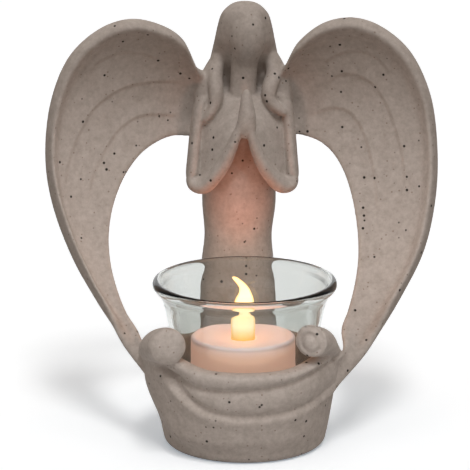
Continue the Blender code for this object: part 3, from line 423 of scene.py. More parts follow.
def cupForm():
    # rings from the middle of the foot, up the folded wall, over the half-round lip and down into
    # the well; the well's height is share^wellRise, its radius 1 - (1 - share)^wellSpread
    lip, spread, edge = cup["lip"], cup["wellSpread"], cup["footEdge"]
    degrees = np.linspace(-180.0, 180.0, cup["columns"], endpoint=False)
    turn = np.radians(degrees)
    rim = rimHeight(degrees)
    radii, heights = [], []

    def addRow(radius, height):
        radii.append(np.broadcast_to(radius, degrees.shape))
        heights.append(np.broadcast_to(height, degrees.shape))

    for r in np.linspace(0.5, cup["footR"] - edge, 12):
        addRow(r, 0.0)
    for a in np.radians(np.linspace(8.0, 90.0, 12)):
        addRow(cup["footR"] - edge * (1.0 - math.sin(a)), edge * (1.0 - math.cos(a)))
    for share in np.linspace(0.0, 1.0, cup["rows"])[1:]:
        addRow(cupRadius(share) + foldRelief(degrees, np.full_like(degrees, share)),
               edge + (rim - lip - edge) * share)
    outer = radii[-1]
    inner = np.full_like(degrees, cup["rimR"] - cup["wall"])
    for a in np.radians(np.linspace(0.0, 180.0, 20)[1:]):
        addRow((outer + inner) / 2 + (outer - inner) / 2 * math.cos(a), rim - lip + lip * math.sin(a))
    for share in np.linspace(1.0, 0.0, 60)[1:]:
        addRow(cup["wellFootR"] + (inner - cup["wellFootR"]) * (1.0 - (1.0 - share) ** spread),
               cup["floorZ"] + (rim - lip - cup["floorZ"]) * share ** cup["wellRise"])
    for r in np.linspace(cup["wellFootR"] - 0.6, 0.5, 12):
        addRow(r, cup["floorZ"])
    radii, heights = np.array(radii), np.array(heights)
    return skin(np.stack([radii * np.sin(turn), -radii * np.cos(turn), heights], axis=-1))


def wellRadius(z):
    # inside radius of the cup at a height, the same curve read the other way
    share = np.clip((z - cup["floorZ"]) / (cup["rimZ"] - cup["lip"] - cup["floorZ"]), 0.0, 1.0)
    share, foot = share ** (1 / cup["wellRise"]), cup["wellFootR"]
    return foot + (cup["rimR"] - cup["wall"] - foot) * (1.0 - (1.0 - share) ** cup["wellSpread"])


def clearOfWell(form):
    # points that would stand in the glass's well, or over it, move straight out to its wall
    points, quads, triangles = form
    reach = np.hypot(points[:, 0], points[:, 1])
    least = wellRadius(points[:, 2]) + cup["wellGap"]
    low, high = cup["floorZ"] - cup["wellGap"], cup["rimZ"] + cup["clearOver"]
    inside = (reach < least) & (points[:, 2] > low) & (points[:, 2] < high)
    push = np.where(inside, least / np.maximum(reach, 1e-6), 1.0)
    points = points.copy()
    points[:, :2] *= push[:, None]
    return points, quads, triangles


# The wings

figureY = 45.4  # the figure's axis, behind the cup's

wing = {"thick": 3.4, "rimR": 2.9, "hollow": 5.2, "tipHollow": 1.6, "tipThinning": 0.55,
        "featherLip": 0.75, "featherRamp": 5, "rows": 320, "front": 120, "back": 60,
        # where both wings start inside the figure
        "rootX": 6, "rootBack": 5.5, "rootZ": {"outer": 127, "inner": 103}}

# Edges as (x, distance in front of the figure's axis, z) from shoulder to cup, then as
# (degrees round the cup from the front, z, how far it stands off the cup). Feather rows are
# (x, z) seen from the front.
leftWing = {
    "outer": [(-16.6, 1, 130.8), (-22, 5, 142.4), (-31, 8.6, 148.7), (-42, 10.6, 150.8),
        (-53.5, 11.6, 146.7), (-64, 12.8, 136.7), (-70.5, 14.4, 120.8), (-72.7, 17, 102),
        (-70.4, 21, 85), (-63.6, 27, 66.7), (-54.4, 34, 50.8), (-45, 41, 37.6)],
    "inner": [(-19.5, -1, 104.3), (-26, 0.4, 104.6), (-32, 2, 102.5), (-37.6, 4.4, 98.8),
        (-42.4, 7.4, 93.2), (-46, 10.8, 86.6), (-48.6, 14.6, 78.7), (-49.7, 18.8, 70), (-49, 23.6, 61.4),
        (-46.8, 29, 53.5), (-43.4, 35, 46.1), (-39, 40.5, 40.4)],
    "wrapOuter": [(-79, 26, 1.4), (-62, 17, 0.4), (-46, 11, -1.6), (-34, 8.5, -5)],
    "wrapInner": [(-82, 36.6, 1.6), (-66, 33.6, 1), (-50, 29, -0.8), (-38, 26, -5)],
    "feathers": [
        [(-58, 128), (-53.5, 134.6), (-47, 137.8), (-41, 138.2), (-34, 136.4), (-27, 132.6)],
        [(-66, 84), (-65.3, 95), (-62.7, 103.7), (-59.7, 109.6), (-56, 116), (-49.5, 121.4),
         (-42.9, 124.4), (-35, 125.8), (-26, 125.6), (-17, 124.6)],
        [(-57.6, 80), (-56.4, 90), (-53.2, 97.6), (-49.8, 103.6), (-46, 108.4), (-40.5, 112.2),
         (-34.4, 113.5), (-27, 112.8), (-20, 111)]],
}
rightWing = {
    "outer": [(16.4, 1, 131.6), (21, 5, 141), (30, 8.6, 148.7), (41, 10.6, 151), (52, 11.6, 147.3),
        (62.4, 12.8, 137.9), (69.5, 14.4, 122.3), (72, 17, 104), (71.4, 21, 86), (67, 27, 67.3),
        (58, 34, 50.9), (47.5, 42, 36.6)],
    "inner": [(19, -1, 104.7), (24.6, 0.4, 104.2), (30, 2, 102.1), (34.6, 4.4, 98), (38, 7.4, 92.4),
        (40.4, 10.8, 85.6), (42, 14.6, 77.9), (42.8, 18.8, 70), (42.6, 23.6, 61.8), (41, 29, 53.9),
        (38.4, 35, 46.3), (35.6, 41, 40.6)],
    "wrapOuter": [(76, 24, 1.2), (60, 20.5, 0.4), (46, 18.5, -1.6), (34, 17.5, -5)],
    "wrapInner": [(80, 36, 1.4), (64, 34.5, 1), (50, 33, -0.8), (38, 31.5, -5)],
    "feathers": [
        [(29, 131), (31.7, 134.2), (36, 137), (41, 138.4), (46.5, 137.9), (51, 135.2), (56, 129)],
        [(28.5, 120.5), (31.8, 125.1), (35.5, 128.1), (40.7, 129.2), (46.6, 127.3), (50.6, 123.4),
         (54.1, 117.5), (57.6, 108), (60, 97), (60.6, 86)],
        [(24, 111), (28.9, 114), (34.1, 115.7), (39.3, 114.9), (43.1, 111.5), (46.4, 105), (48.8, 96),
         (50.2, 86), (50.4, 77)]],
}


def featherRelief(points, rows):
    # each row lifts towards its lower edge in a ramp and drops there in a short step, as
    # overlapping feathers do: exp(d / ramp) on the upper side, nothing below the edge
    x, z = points[..., 0].ravel(), points[..., 2].ravel()
    height = np.zeros(x.size)
    for row in rows:
        line = through([(a, 0.0, b) for a, b in row], np.linspace(0.0, 1.0, 40))[:, [0, 2]]
        a, b = line[:-1], line[1:]
        step = b - a
        t = ((x[:, None] - a[:, 0]) * step[:, 0] + (z[:, None] - a[:, 1]) * step[:, 1])
        t = np.clip(t / (step ** 2).sum(axis=1), 0.0, 1.0)
        away = np.hypot(x[:, None] - a[:, 0] - t * step[:, 0], z[:, None] - a[:, 1] - t * step[:, 1])
        near = away.argmin(axis=1)
        pick = np.arange(x.size)
        reach, t = away[pick, near], t[pick, near]
        run = (near + t) / len(step)
        side = step[near, 0] * (z - a[near, 1]) - step[near, 1] * (x - a[near, 0])
        centre = line.mean(axis=0)
        inner = step[near, 0] * (centre[1] - a[near, 1]) - step[near, 1] * (centre[0] - a[near, 0])
        signed = np.where(side * inner > 0, reach, -reach)  # positive on the hollow side of the arc
        ends = ease(0.0, 0.16, run) * (1.0 - ease(0.84, 1.0, run))
        ramp = np.exp(np.minimum(signed, 0.0) / wing["featherRamp"]) * (1.0 - ease(-0.15, 0.75, signed))
        height += wing["featherLip"] * ends * ramp
    return height.reshape(points.shape[:-1])


def wingEdge(spec, key):
    # one edge as a smooth curve, from inside the figure to its end on the cup
    side = math.copysign(wing["rootX"], spec["outer"][0][0])
    points = [(side, figureY + wing["rootBack"], wing["rootZ"][key])]
    points += [(x, figureY - front, z) for x, front, z in spec[key]]
    for degrees, z, proud in spec["wrap" + key.capitalize()]:
        r = float(cupRadius(z / cup["rimZ"])) + proud
        points.append((r * math.sin(math.radians(degrees)), -r * math.cos(math.radians(degrees)), z))
    return through(points, np.linspace(0.0, 1.0, wing["rows"]))


def wingForm(spec):
    # rings across the wing between its two edges; the front is a rolled rim, a hollow field and
    # feather rows, the back follows the same hollow, which is sin(pi share^1.25)^0.9 across
    outer, inner = wingEdge(spec, "outer"), wingEdge(spec, "inner")
    run = np.linspace(0.0, 1.0, wing["rows"])[:, None]
    width = np.linalg.norm(inner - outer, axis=1)[:, None]
    across = unit(inner - outer)
    normal = unit(np.cross(np.gradient((outer + inner) / 2, axis=0), across))
    normal = np.where(normal[:, 1:2] > 0, -normal, normal)
    hollow = wing["hollow"] + (wing["tipHollow"] - wing["hollow"]) * ease(0.2, 0.7, run)
    hollow = hollow * ease(-0.05, 0.15, run)
    thick = 1.0 - wing["tipThinning"] * ease(0.68, 0.9, run)
    half, r = wing["thick"] / 2, wing["rimR"]

    def place(share, height):
        # a point between the edges, raised off the surface through them
        return (outer[:, None] + across[:, None] * (share * width)[..., None]
                + normal[:, None] * height[..., None])

    share = (0.5 - 0.5 * np.cos(np.pi * np.arange(wing["front"] + 1) / wing["front"]))[None, :]
    reach = share * width
    dip = hollow * np.sin(np.pi * share**1.25) ** 0.9
    # the rim ends before it reaches the neck
    rim = 1.25 * r * bell(reach - 0.95 * r, 1.3 * r) * ease(0.025, 0.08, run)
    body = (half + rim) * thick * rounded(reach + 0.05, 0.8 * r)
    body = body * rounded(width - reach + 0.05, 1.5 * half)
    flat = place(share, body - dip)
    lift = featherRelief(flat, spec["feathers"])
    lift = lift * ease(1.6 * r, 2.6 * r, reach) * ease(0.0, 2.0, width - reach)
    front = place(share, body - dip + lift * thick)
    share = (0.5 - 0.5 * np.cos(np.pi * np.arange(wing["back"] - 1, 0, -1) / wing["back"]))[None, :]
    reach = share * width
    dip = hollow * np.sin(np.pi * share**1.25) ** 0.9
    rear = half * thick * rounded(reach + 0.05, half) * rounded(width - reach + 0.05, half)
    back = place(share, -rear - dip)
    return skin(np.concatenate([front, back], axis=1))


# The scrolls

# paths as (x, y, height above the rim, radius) from the face back to the wing
leftScroll = {"path": [(-28, -27.4, 8.2, 6.5), (-29.2, -22, 7.3, 6.8), (-31.6, -15, 5.2, 6.2),
    (-34, -8, 2.2, 4.8), (-35.2, -2, -0.5, 3)],
              "groove": 0.15, "start": 150, "pitch": 2.4, "turns": 1}
rightScroll = {"path": [(22.6, -28.6, 10.4, 6), (24.2, -24.8, 9.7, 5.5), (27.6, -18.4, 7.2, 4.9),
    (30.2, -12, 2.8, 3.9), (32.2, -6, -0.5, 3)],
               "groove": 1.15, "start": 250, "pitch": 2.3, "turns": 2}


def scrollForm(spec, columns=160, faceRows=60, tubeRows=90):
    # a rolled edge: a tube along its path, ended by a disc with a spiral groove cut in it. The
    # groove's radius falls by one pitch a turn, clockwise from its start
    path = through([(x, y, cup["rimZ"] + up, r) for x, y, up, r in spec["path"]],
                   np.linspace(0.0, 1.0, tubeRows))
    axis = path[0, :3] - path[4, :3]
    axis[2] = 0.12 * np.linalg.norm(axis)
    axis = unit(axis)
    across = unit(np.array([-axis[1], axis[0], 0.0]))
    across = across if across[0] > 0 else -across
    up = np.array([0.0, 0.0, 1.0])
    a = np.linspace(0.0, 2 * np.pi, columns, endpoint=False)
    ringOut = across * np.cos(a)[:, None] + up * np.sin(a)[:, None]
    faceR = path[0, 3]
    share = np.linspace(0.02, 1.0, faceRows)[:, None]
    wound = ((math.radians(spec["start"]) - a) % (2 * np.pi)) / (2 * np.pi)
    cut = np.zeros((faceRows, columns))
    for lap in range(2):
        turn = wound + lap
        line = faceR - spec["pitch"] * turn
        fade = ease(0.0, 0.12, turn) * (1.0 - ease(spec["turns"] - 0.5, spec["turns"], turn))
        cut = np.maximum(cut, bell(share * faceR - line, 0.75) * fade)
    bulge = 1.3 * (1.0 - share ** 2) + 1.6 * (rounded((1.0 - share) * faceR, 1.8) - 1.0)
    depth = bulge - spec["groove"] * cut
    face = path[0, :3] + ringOut * (share * faceR)[..., None] + axis * depth[..., None]
    tube = path[1:, None, :3] + ringOut[None] * path[1:, 3][:, None, None]
    return skin(np.concatenate([face, tube], axis=0))


# The figure

figure = {
    "waistW": 26.4, "waistD": 19.6, "hemW": 38, "hemD": 32, "leanX": -0.9, "waistZ": 67,
    "elbowZ": 89.5, "shoulderZ": 119, "shoulderW": 29, "handReach": 18.6, "chinZ": 131.6,
    "headTopZ": 155.4, "headX": 1.3,
    "hairW": 25.4, "hairD": 20, "faceW": 13.4, "faceD": 15, "foreheadDrop": 2.6, "neckR": 5.2,
    # locks of hair as (x, y, z, half width, half depth)
    "leftLock": [(-7.4, 52, 138.6, 2, 2.4), (-8.6, 49.8, 132.8, 2.8, 3.8), (-9.9, 45, 127, 3, 4.2),
        (-9.5, 41, 121.8, 2.8, 3.6), (-9.9, 39.6, 117.6, 2.5, 3.2), (-12.2, 39, 113.8, 1.9, 2.7),
        (-15.2, 40, 110.4, 1.3, 1.8)],
    "rightLock": [(9.6, 52, 139, 2, 2.4), (11.2, 49.8, 133.4, 2.8, 3.8), (12.1, 45, 128.2, 3, 4.2),
        (10.5, 41, 124, 2.9, 3.6), (10.2, 39.6, 120, 2.6, 3.4), (12.6, 38.6, 116.6, 2.1, 2.8),
        (17, 40, 113.6, 1.4, 1.9)],
    "leftFall": [(-4.6, 49.5, 141, 1.8, 2.4), (-8.6, 48.4, 133, 2.8, 3.4), (-12.6, 46.6, 125, 3.4, 4.2),
        (-13.8, 45.8, 118, 3.8, 4.2), (-14.2, 45.8, 111, 2.6, 3.2)],
    "rightFall": [(7.2, 49.5, 141, 1.8, 2.4), (11.4, 48.4, 133.6, 2.8, 3.4), (15, 46.6, 125, 3.4, 4.2),
        (15.2, 45.8, 118, 3.8, 4.2), (15.6, 45.8, 111, 2.6, 3.2)],
    "strandDepth": 0.35, "strands": 15, "foldDepth": 0.5, "folds": 9,
    # hood of hair as (share of the way up from the shoulders, share of width, of depth, set back)
    "hood": [(1, 0.10, 0.14, -2.2), (0.985, 0.32, 0.40, -2.1), (0.94, 0.52, 0.66, -1.9),
        (0.86, 0.70, 0.88, -1.2), (0.74, 0.80, 0.98, -0.2), (0.60, 0.88, 0.96, 1.2),
        (0.46, 0.96, 0.79, 3.4), (0.30, 1.06, 0.52, 5.4), (0.14, 1.16, 0.46, 5.9),
        (-0.10, 1.12, 0.50, 4.4), (-0.38, 0.84, 0.40, 3.8), (-0.66, 0.40, 0.20, 2.4)],
    # smooth egg of the face as (share of its height, share of its width)
    "egg": [(0, 0.22), (0.05, 0.44), (0.16, 0.70), (0.32, 0.90), (0.5, 1), (0.68, 0.99), (0.84, 0.86),
        (0.94, 0.66), (1, 0.34)],
}


def ovalForm(stations, rows=160, columns=120, relief=None):
    # level ovals (z, centre x, centre y, width, depth) on a smooth curve; relief(angle, z) is
    # added to both half axes
    s = through(stations, np.linspace(0.0, 1.0, rows))
    a = np.linspace(0.0, 2 * np.pi, columns, endpoint=False)[None, :]
    z = np.broadcast_to(s[:, :1], (rows, columns))
    extra = relief(a, z) if relief else 0.0
    x = s[:, 1:2] + (s[:, 3:4] / 2 + extra) * np.cos(a)
    y = s[:, 2:3] + (s[:, 4:5] / 2 + extra) * np.sin(a)
    return skin(np.stack([x, y, z], axis=-1))


def limbForm(stations, rows=120, columns=64, startRound=0.0, endRound=0.0):
    # a limb along a smooth path of (x, y, z, half width, half depth), its ends rounded off over
    # the given shares of its length
    shares = 0.5 - 0.5 * np.cos(np.linspace(0.0, np.pi, rows))
    s = through(stations, shares)
    along = unit(np.gradient(s[:, :3], axis=0))
    side = unit(np.cross(along, (0.0, 1.0, 0.0)))
    deep = np.cross(side, along)
    size = np.ones(rows)
    if startRound:
        size *= rounded(shares + 0.002, startRound)
    if endRound:
        size *= rounded(1.002 - shares, endRound)
    a = np.linspace(0.0, 2 * np.pi, columns, endpoint=False)
    ring = (side[:, None] * (np.cos(a)[None, :] * (s[:, 3] * size)[:, None])[..., None]
            + deep[:, None] * (np.sin(a)[None, :] * (s[:, 4] * size)[:, None])[..., None])
    return skin(s[:, None, :3] + ring)


def robeForm():
    # level ovals from the hem through the waist and the elbows to the set-back shoulders
    f, y = figure, figureY
    hemY = y - f["waistD"] / 2 - 3.0 + f["hemD"] / 2 - 8.0
    waistZ, lean, w, d = f["waistZ"], f["leanX"], f["waistW"], f["waistD"]
    shoulderZ = f["shoulderZ"]

    def folds(a, z):
        # shallow hanging folds at the sides and back, dying out towards the waist and the foot
        shown = ease(-0.35, 0.5, np.sin(a)) * ease(0.0, 14.0, z) * (1.0 - ease(14.0, 74.0, z))
        return f["foldDepth"] * shown * np.cos(f["folds"] * a + 0.4)

    return ovalForm([
        (0.0, -1.4, hemY, f["hemW"] - 2.0, f["hemD"] - 2.0),
        (1.2, -1.4, hemY, f["hemW"], f["hemD"]),
        (0.28 * waistZ, -1.5, hemY + 1.2, f["hemW"] - 3.0, f["hemD"] - 4.0),
        (0.50 * waistZ, -1.6, y - 3.6, w + 5.6, d + 5.0),
        (0.68 * waistZ, -1.6, y - 1.5, w + 3.4, d + 1.6),
        (0.86 * waistZ, -1.4, y, w + 0.6, d),
        (waistZ, lean - 0.3, y, w - 1.0, d - 0.4),
        (waistZ + 11.5, lean, y + 0.2, w + 1.2, d),
        (f["elbowZ"], lean, y + 0.8, w + 1.0, d - 0.6),
        (f["elbowZ"] + 12.0, -0.6, y + 1.0, w, d - 1.6),
        (shoulderZ - 7.0, -0.3, y + 1.0, f["shoulderW"] - 1.0, d - 2.2),
        (shoulderZ, 0.0, y + 1.2, f["shoulderW"] - 2.0, d - 3.6),
        (shoulderZ + 2.4, 0.2, y + 3.6, f["shoulderW"] - 9.0, d - 8.6),
        (shoulderZ + 3.8, 0.3, y + 4.6, f["shoulderW"] - 17.0, d - 12.0),
    ], rows=260, columns=180, relief=folds)


# Limbs as (x, y, z, half width, half depth); the sleeves as (z, x and y at the hands' side, x and
# y at the upper arm's side, half thickness)
arms = {
    "rightStrip": [(12, 46.4, 121.4, 2.4, 3.2), (16, 44.2, 118, 2.6, 4.4), (17.5, 42.4, 109, 2.5, 5),
        (18.3, 40.4, 99, 2.5, 5.4), (18.6, 38.6, 91.5, 2.7, 5.2), (18, 37.2, 88, 2.6, 4.4)],
    "leftStrip": [(-10.8, 46.4, 120.6, 2.4, 3.2), (-14.8, 44.2, 117.4, 2.6, 4.4),
        (-16.6, 42.4, 109, 2.5, 5), (-17.7, 40.4, 99, 2.5, 5.4), (-18.2, 38.6, 91.5, 2.7, 5.2),
        (-17.6, 37.2, 88, 2.6, 4.4)],
    "rightBand": [(19.2, 38.8, 91.2, 2.4, 3.8), (17.6, 36.8, 88.4, 3, 4.8), (14.3, 34.6, 88.6, 3.3, 5),
        (10.6, 32, 92.4, 2.9, 4.6), (7.6, 30, 97, 2.6, 4.2), (5.2, 28.4, 102.4, 2.2, 3.8),
        (3.5, 27.4, 107.8, 1.8, 3.4), (2.6, 27.2, 112.6, 1.4, 2.8)],
    "leftBand": [(-18.8, 38.8, 91.4, 2.4, 3.8), (-17.4, 36.8, 88.4, 3, 4.8), (-14.1, 34.6, 88.4, 3.3, 5),
        (-10.6, 32, 91.8, 2.9, 4.6), (-7.2, 30, 96.8, 2.6, 4.2), (-4.6, 28.4, 102.4, 2.2, 3.8),
        (-2.5, 27.4, 107.8, 1.8, 3.4), (-0.6, 27.2, 112.8, 1.4, 2.8)],
    "rightSleeve": [(89.5, 13, 35.6, 17.4, 39.6, 2), (94, 10.6, 33.6, 18, 42.6, 2.6),
        (99, 7.6, 31.8, 18, 44, 2.8), (104, 5.2, 30.6, 17.6, 44.8, 2.8), (109, 3.6, 30.6, 17, 45.4, 2.8),
        (113, 3, 32.6, 15.4, 45.6, 2.6), (117, 2.8, 36.6, 14, 46, 2.2), (120, 2.6, 41, 12, 46.4, 1.6)],
    "leftSleeve": [(89.5, -12.8, 35.6, -17, 39.6, 2), (94, -10.4, 33.6, -17.8, 42.6, 2.6),
        (99, -7.2, 31.8, -17.6, 44, 2.8), (104, -4.6, 30.6, -17, 44.8, 2.8),
        (109, -2.2, 30.6, -16.2, 45.4, 2.8), (113, -0.8, 32.6, -14.2, 45.6, 2.6),
        (117, 0, 36.6, -12.8, 46, 2.2), (120, 0.2, 41, -11, 46.4, 1.6)],
    # palms as (z, x, width, depth)
    "hands": [(107.6, 0.9, 1.4, 2.4), (108.8, 1, 4.6, 4.4), (111, 1.3, 7.2, 6.6), (116, 1.6, 6.4, 7.4),
        (120, 1.5, 5.1, 6.4), (123.4, 1.4, 3.7, 4.8), (125.2, 1.4, 2.1, 2.8), (125.9, 1.4, 0.9, 1.2)],
}


def sheetForm(stations, rows=90, columns=96):
    # a level flat oval at each height, from one side point to the other; its ends are fuller
    # than an ellipse's: cos^0.7 along and sin^0.7 across
    s = through(stations, np.linspace(0.0, 1.0, rows))
    start, end = s[:, [1, 2]], s[:, [3, 4]]
    middle, reach = (start + end) / 2, (end - start) / 2
    along = unit(reach)
    across = np.stack([-along[:, 1], along[:, 0]], axis=1)
    a = np.linspace(0.0, 2 * np.pi, columns, endpoint=False)
    u = (np.sign(np.cos(a)) * np.abs(np.cos(a)) ** 0.7)[None, :, None]
    v = (np.sign(np.sin(a)) * np.abs(np.sin(a)) ** 0.7)[None, :, None]
    flat = middle[:, None] + reach[:, None] * u + (across * s[:, 5:6])[:, None] * v
    return skin(np.concatenate([flat, np.broadcast_to(s[:, None, :1], (rows, columns, 1))], axis=2))


def armForms(side):
    # upper arm as a strip down the outside, the sleeve's hem as a band from the elbow up to the
    # hands, and the wide sleeve set back between them
    return [limbForm(arms[side + "Strip"], startRound=0.05, endRound=0.1),
            limbForm(arms[side + "Band"], startRound=0.06),
            sheetForm(arms[side + "Sleeve"])]


def handsForm():
    # two palms pressed together, tapering to the fingertips
    y = figureY - figure["handReach"]
    return ovalForm([(z, x, y + 0.04 * (z - 106.6), w, d) for z, x, w, d in arms["hands"]], 120, 64)


def headForms():
    # the hood of hair, a smooth bare face, the neck, and the hair that falls beside it
    f, y = figure, figureY
    drop = f["headTopZ"] - f["shoulderZ"]

    def strands(a, z):
        # long soft locks down the back, turning slowly as they fall
        behind = ease(-0.1, 0.6, np.sin(a))
        fall = 1.0 - ease(f["headTopZ"] - 9.0, f["headTopZ"] - 1.0, z)
        return f["strandDepth"] * behind * fall * np.cos(f["strands"] * a + 0.05 * (z - 120.0))

    hair = ovalForm([(f["shoulderZ"] + drop * s, f["headX"], y + 1.6 + back, f["hairW"] * w,
                      f["hairD"] * d) for s, w, d, back in f["hood"]], 240, 240, strands)
    rise = f["headTopZ"] - f["foreheadDrop"] - f["chinZ"]
    face = ovalForm([(f["chinZ"] + rise * s, f["headX"] + 0.7,
                      y - 2.0 - 2.0 * math.sin(math.pi * (0.12 + 0.78 * s)),
                      f["faceW"] * w, f["faceD"] * w) for s, w in f["egg"]])
    neck = ovalForm([
        (f["shoulderZ"] - 4.0, 0.4, y + 0.4, 2 * f["neckR"] + 5.0, 2 * f["neckR"] + 3.0),
        (f["shoulderZ"] + 3.0, 0.5, y - 0.8, 2 * f["neckR"], 2 * f["neckR"]),
        (f["chinZ"] + 4.0, f["headX"], y - 1.0, 2 * f["neckR"] - 0.6, 2 * f["neckR"])])
    locks = [limbForm(f[key], startRound=0.08, endRound=0.1)
             for key in ("leftLock", "rightLock", "leftFall", "rightFall")]
    return [hair, face, neck, *locks]


# Growing the casting together

casting = {"voxel": 0.5, "softening": 4, "faces": 190000}


def grownTogether(name, forms):
    # the overlapping forms become one skin on a fine grid, are softened as a cast from a rubber
    # mould is, and thinned to a fair number of triangles
    shape = bpy.data.objects.new(name, fillMesh(name, forms))
    bpy.context.scene.collection.objects.link(shape)
    grow = shape.modifiers.new("grow together", "REMESH")
    grow.mode, grow.voxel_size = "VOXEL", casting["voxel"] * mm
    soft = shape.modifiers.new("soften", "SMOOTH")
    soft.factor, soft.iterations = 0.5, casting["softening"]
    bpy.context.view_layer.update()
    ready = shape.evaluated_get(bpy.context.evaluated_depsgraph_get())
    count = sum(len(p.vertices) - 2 for p in ready.data.polygons)
    thin = shape.modifiers.new("thin out", "DECIMATE")
    thin.ratio = min(1.0, casting["faces"] / count)
    bpy.context.view_layer.update()
    ready = shape.evaluated_get(bpy.context.evaluated_depsgraph_get())
    mesh = bpy.data.meshes.new_from_object(ready)
    bpy.data.objects.remove(shape, do_unlink=True)
    places = np.empty(3 * len(mesh.vertices))
    mesh.vertices.foreach_get("co", places)
    places[2::3] = np.maximum(places[2::3], 0.0)  # the foot stands flat on the table
    mesh.vertices.foreach_set("co", places)
    print("grown", count, "triangles, thinned to", len(mesh.polygons))
    return mesh


print("stage: casting")
forms = [robeForm(), *headForms(), handsForm()]
for side in ("left", "right"):
    forms += armForms(side)
for spec in (leftWing, rightWing):
    forms.append(wingForm(spec))
for spec in (leftScroll, rightScroll):
    forms.append(scrollForm(spec))
forms = [clearOfWell(form) for form in forms] + [cupForm()]
castingMesh = grownTogether("sandstoneAngel", [outward(form) for form in forms])
addPiece("sandstoneAngel", castingMesh, resinMade, "holder", "cast_resin", "figure_casting")


# The glass

glass = {"footR": 23, "height": 44, "floor": 5, "footZ": 17.3, "columns": 200,
         # outside and inside as (radius, depth below the rim's top)
         "outer": [(24.4, 32), (25.9, 26), (27.3, 20), (28.3, 15), (29, 11.4), (29.8, 8.4), (31, 5.8),
             (32.5, 3.9), (33.3, 2.9), (33.6, 1.9), (33.4, 0.9), (32.8, 0.2), (32, 0)],
         "inner": [(31.2, 0.2), (30.5, 0.8), (30, 1.8), (29.3, 3.6), (28.2, 6.2), (27.2, 9),
             (26.5, 12.2), (25.9, 16), (25, 21), (23.8, 27)]}


def latheForm(profile, columns, rows, closed=False, centre=0.0):
    # a profile of (radius, height) turned about an upright axis
    line = through([(r, 0.0, z) for r, z in profile], np.linspace(0.0, 1.0, rows))
    if closed:
        line = line[:-1]
    a = np.linspace(0.0, 2 * np.pi, columns, endpoint=False)
    grid = np.stack([centre + line[:, :1] * np.cos(a), line[:, :1] * np.sin(a),
                     np.broadcast_to(line[:, 2:3], (len(line), columns))], axis=-1)
    return outward(skin(grid, closed))


def glassForm():
    # foot, outside, beaded rim, inside and thick floor in one closed profile
    g = glass
    z, top = g["footZ"], g["footZ"] + g["height"]
    foot = [(0.4, z), (8.0, z), (15.0, z), (19.6, z), (21.4, z + 0.2), (22.5, z + 0.9),
            (g["footR"], z + 2.2), (g["footR"] + 0.3, z + 5.0)]
    sides = [(r, top - down) for r, down in g["outer"] + g["inner"]]
    floor = z + g["floor"]
    bowl = [(22.8, floor + 7.0), (21.6, floor + 2.0), (20.2, floor + 0.4), (18.4, floor),
            (12.0, floor), (0.4, floor)]
    return latheForm(foot + sides + bowl, g["columns"], 320)


print("stage: glass and candle")
votiveGlass = addPiece("votiveGlass", fillMesh("votiveGlass", [glassForm()]), glassMade, "holder",
                       "clear_glass", "votive_glass")
votiveGlass.visible_shadow = False  # clear glass throws next to no shadow


# The candle

candle = {"x": -0.6, "r": 19, "footZ": 22.6, "height": 18.3, "wall": 1.2, "top": 1.6, "dish": 0.9,
          "hole": 4.6, "edge": 1.1}


def shellForm():
    # a closed profile of the shell: side, rounded edge, dished top with its hole, and inside
    c = candle
    z, top, r = c["footZ"], c["footZ"] + c["height"], c["r"]
    e, hole, wall, dish = c["edge"], c["hole"], r - c["wall"], top - c["dish"]
    under = dish - c["top"]
    loop = [(r - 0.2, z), (r, z + 0.4), (r, z + 0.8), (r, z + 6.0), (r, z + 12.0), (r, top - e - 0.5)]
    loop += [(r - e + e * math.cos(a), top - e + e * math.sin(a))
             for a in np.radians(np.linspace(0, 90, 6))]
    loop += [(r - 2.0, top - 0.1), (r - 3.4, top - 0.5), (12.0, top - 0.75), (7.0, dish),
             (hole + 0.4, dish), (hole, dish - 0.3), (hole, under + 0.2), (hole + 0.2, under),
             (10.0, under), (wall - 0.3, under), (wall, under - 0.3), (wall, z + 9.0),
             (wall, z + 0.2), (wall + 0.2, z), (r - 0.2, z)]
    return latheForm(loop, 160, 240, closed=True, centre=c["x"])


candleShell = addPiece("candleShell", fillMesh("candleShell", [shellForm()]), shellMade, "holder",
                       "ivory_plastic", "candle_shell")
candleShell.visible_diffuse = False  # the lamps alone light the casting, in a purer orange

# flame as (x, z above the candle's dish, radius); the tip hooks to the left
flame = {"foot": [(0, -3.1, 6), (0, -2.4, 6), (0, -1.95, 5.9), (0, -1.85, 4.3), (0, 0, 4.3)],
         "body": [(0, 3.8, 4.42), (0, 7.6, 4.38), (0.1, 10.2, 4.1), (0.3, 11.9, 3.7), (0.55, 13.9, 3.2),
             (0.7, 15.8, 2.35), (0.35, 17.8, 1.75), (-0.9, 19.6, 1.5), (-2.5, 21.2, 1.2),
             (-3.4, 22.1, 0.8)]}


def flameForm():
    # level rings along the bent tip, rounded off at its point
    base = candle["footZ"] + candle["height"] - candle["dish"]
    lines = np.array(flame["foot"] + flame["body"])
    s = through(np.stack([lines[:, 0], 0 * lines[:, 0], lines[:, 1], lines[:, 2]], axis=1),
                np.linspace(0.0, 1.0, 150))
    a = np.linspace(0.0, 2 * np.pi, 72, endpoint=False)
    tipRound = rounded(np.linspace(1.0, 0.0, 150) + 0.004, 0.03)
    r = (s[:, 3] * tipRound)[:, None]
    grid = np.stack([candle["x"] + s[:, :1] + r * np.cos(a), r * np.sin(a) * np.ones((150, 72)),
                     np.broadcast_to(base + s[:, 2:3], (150, 72))], axis=-1)
    return outward(skin(grid))


ledFlame = addPiece("ledFlame", fillMesh("ledFlame", [flameForm()]), amberMade, "holder", "amber_plastic",
                    "flame_lens")
ledFlame.visible_shadow = ledFlame.visible_diffuse = False  # its lamps stand inside it


# CAD parts that keep their shape

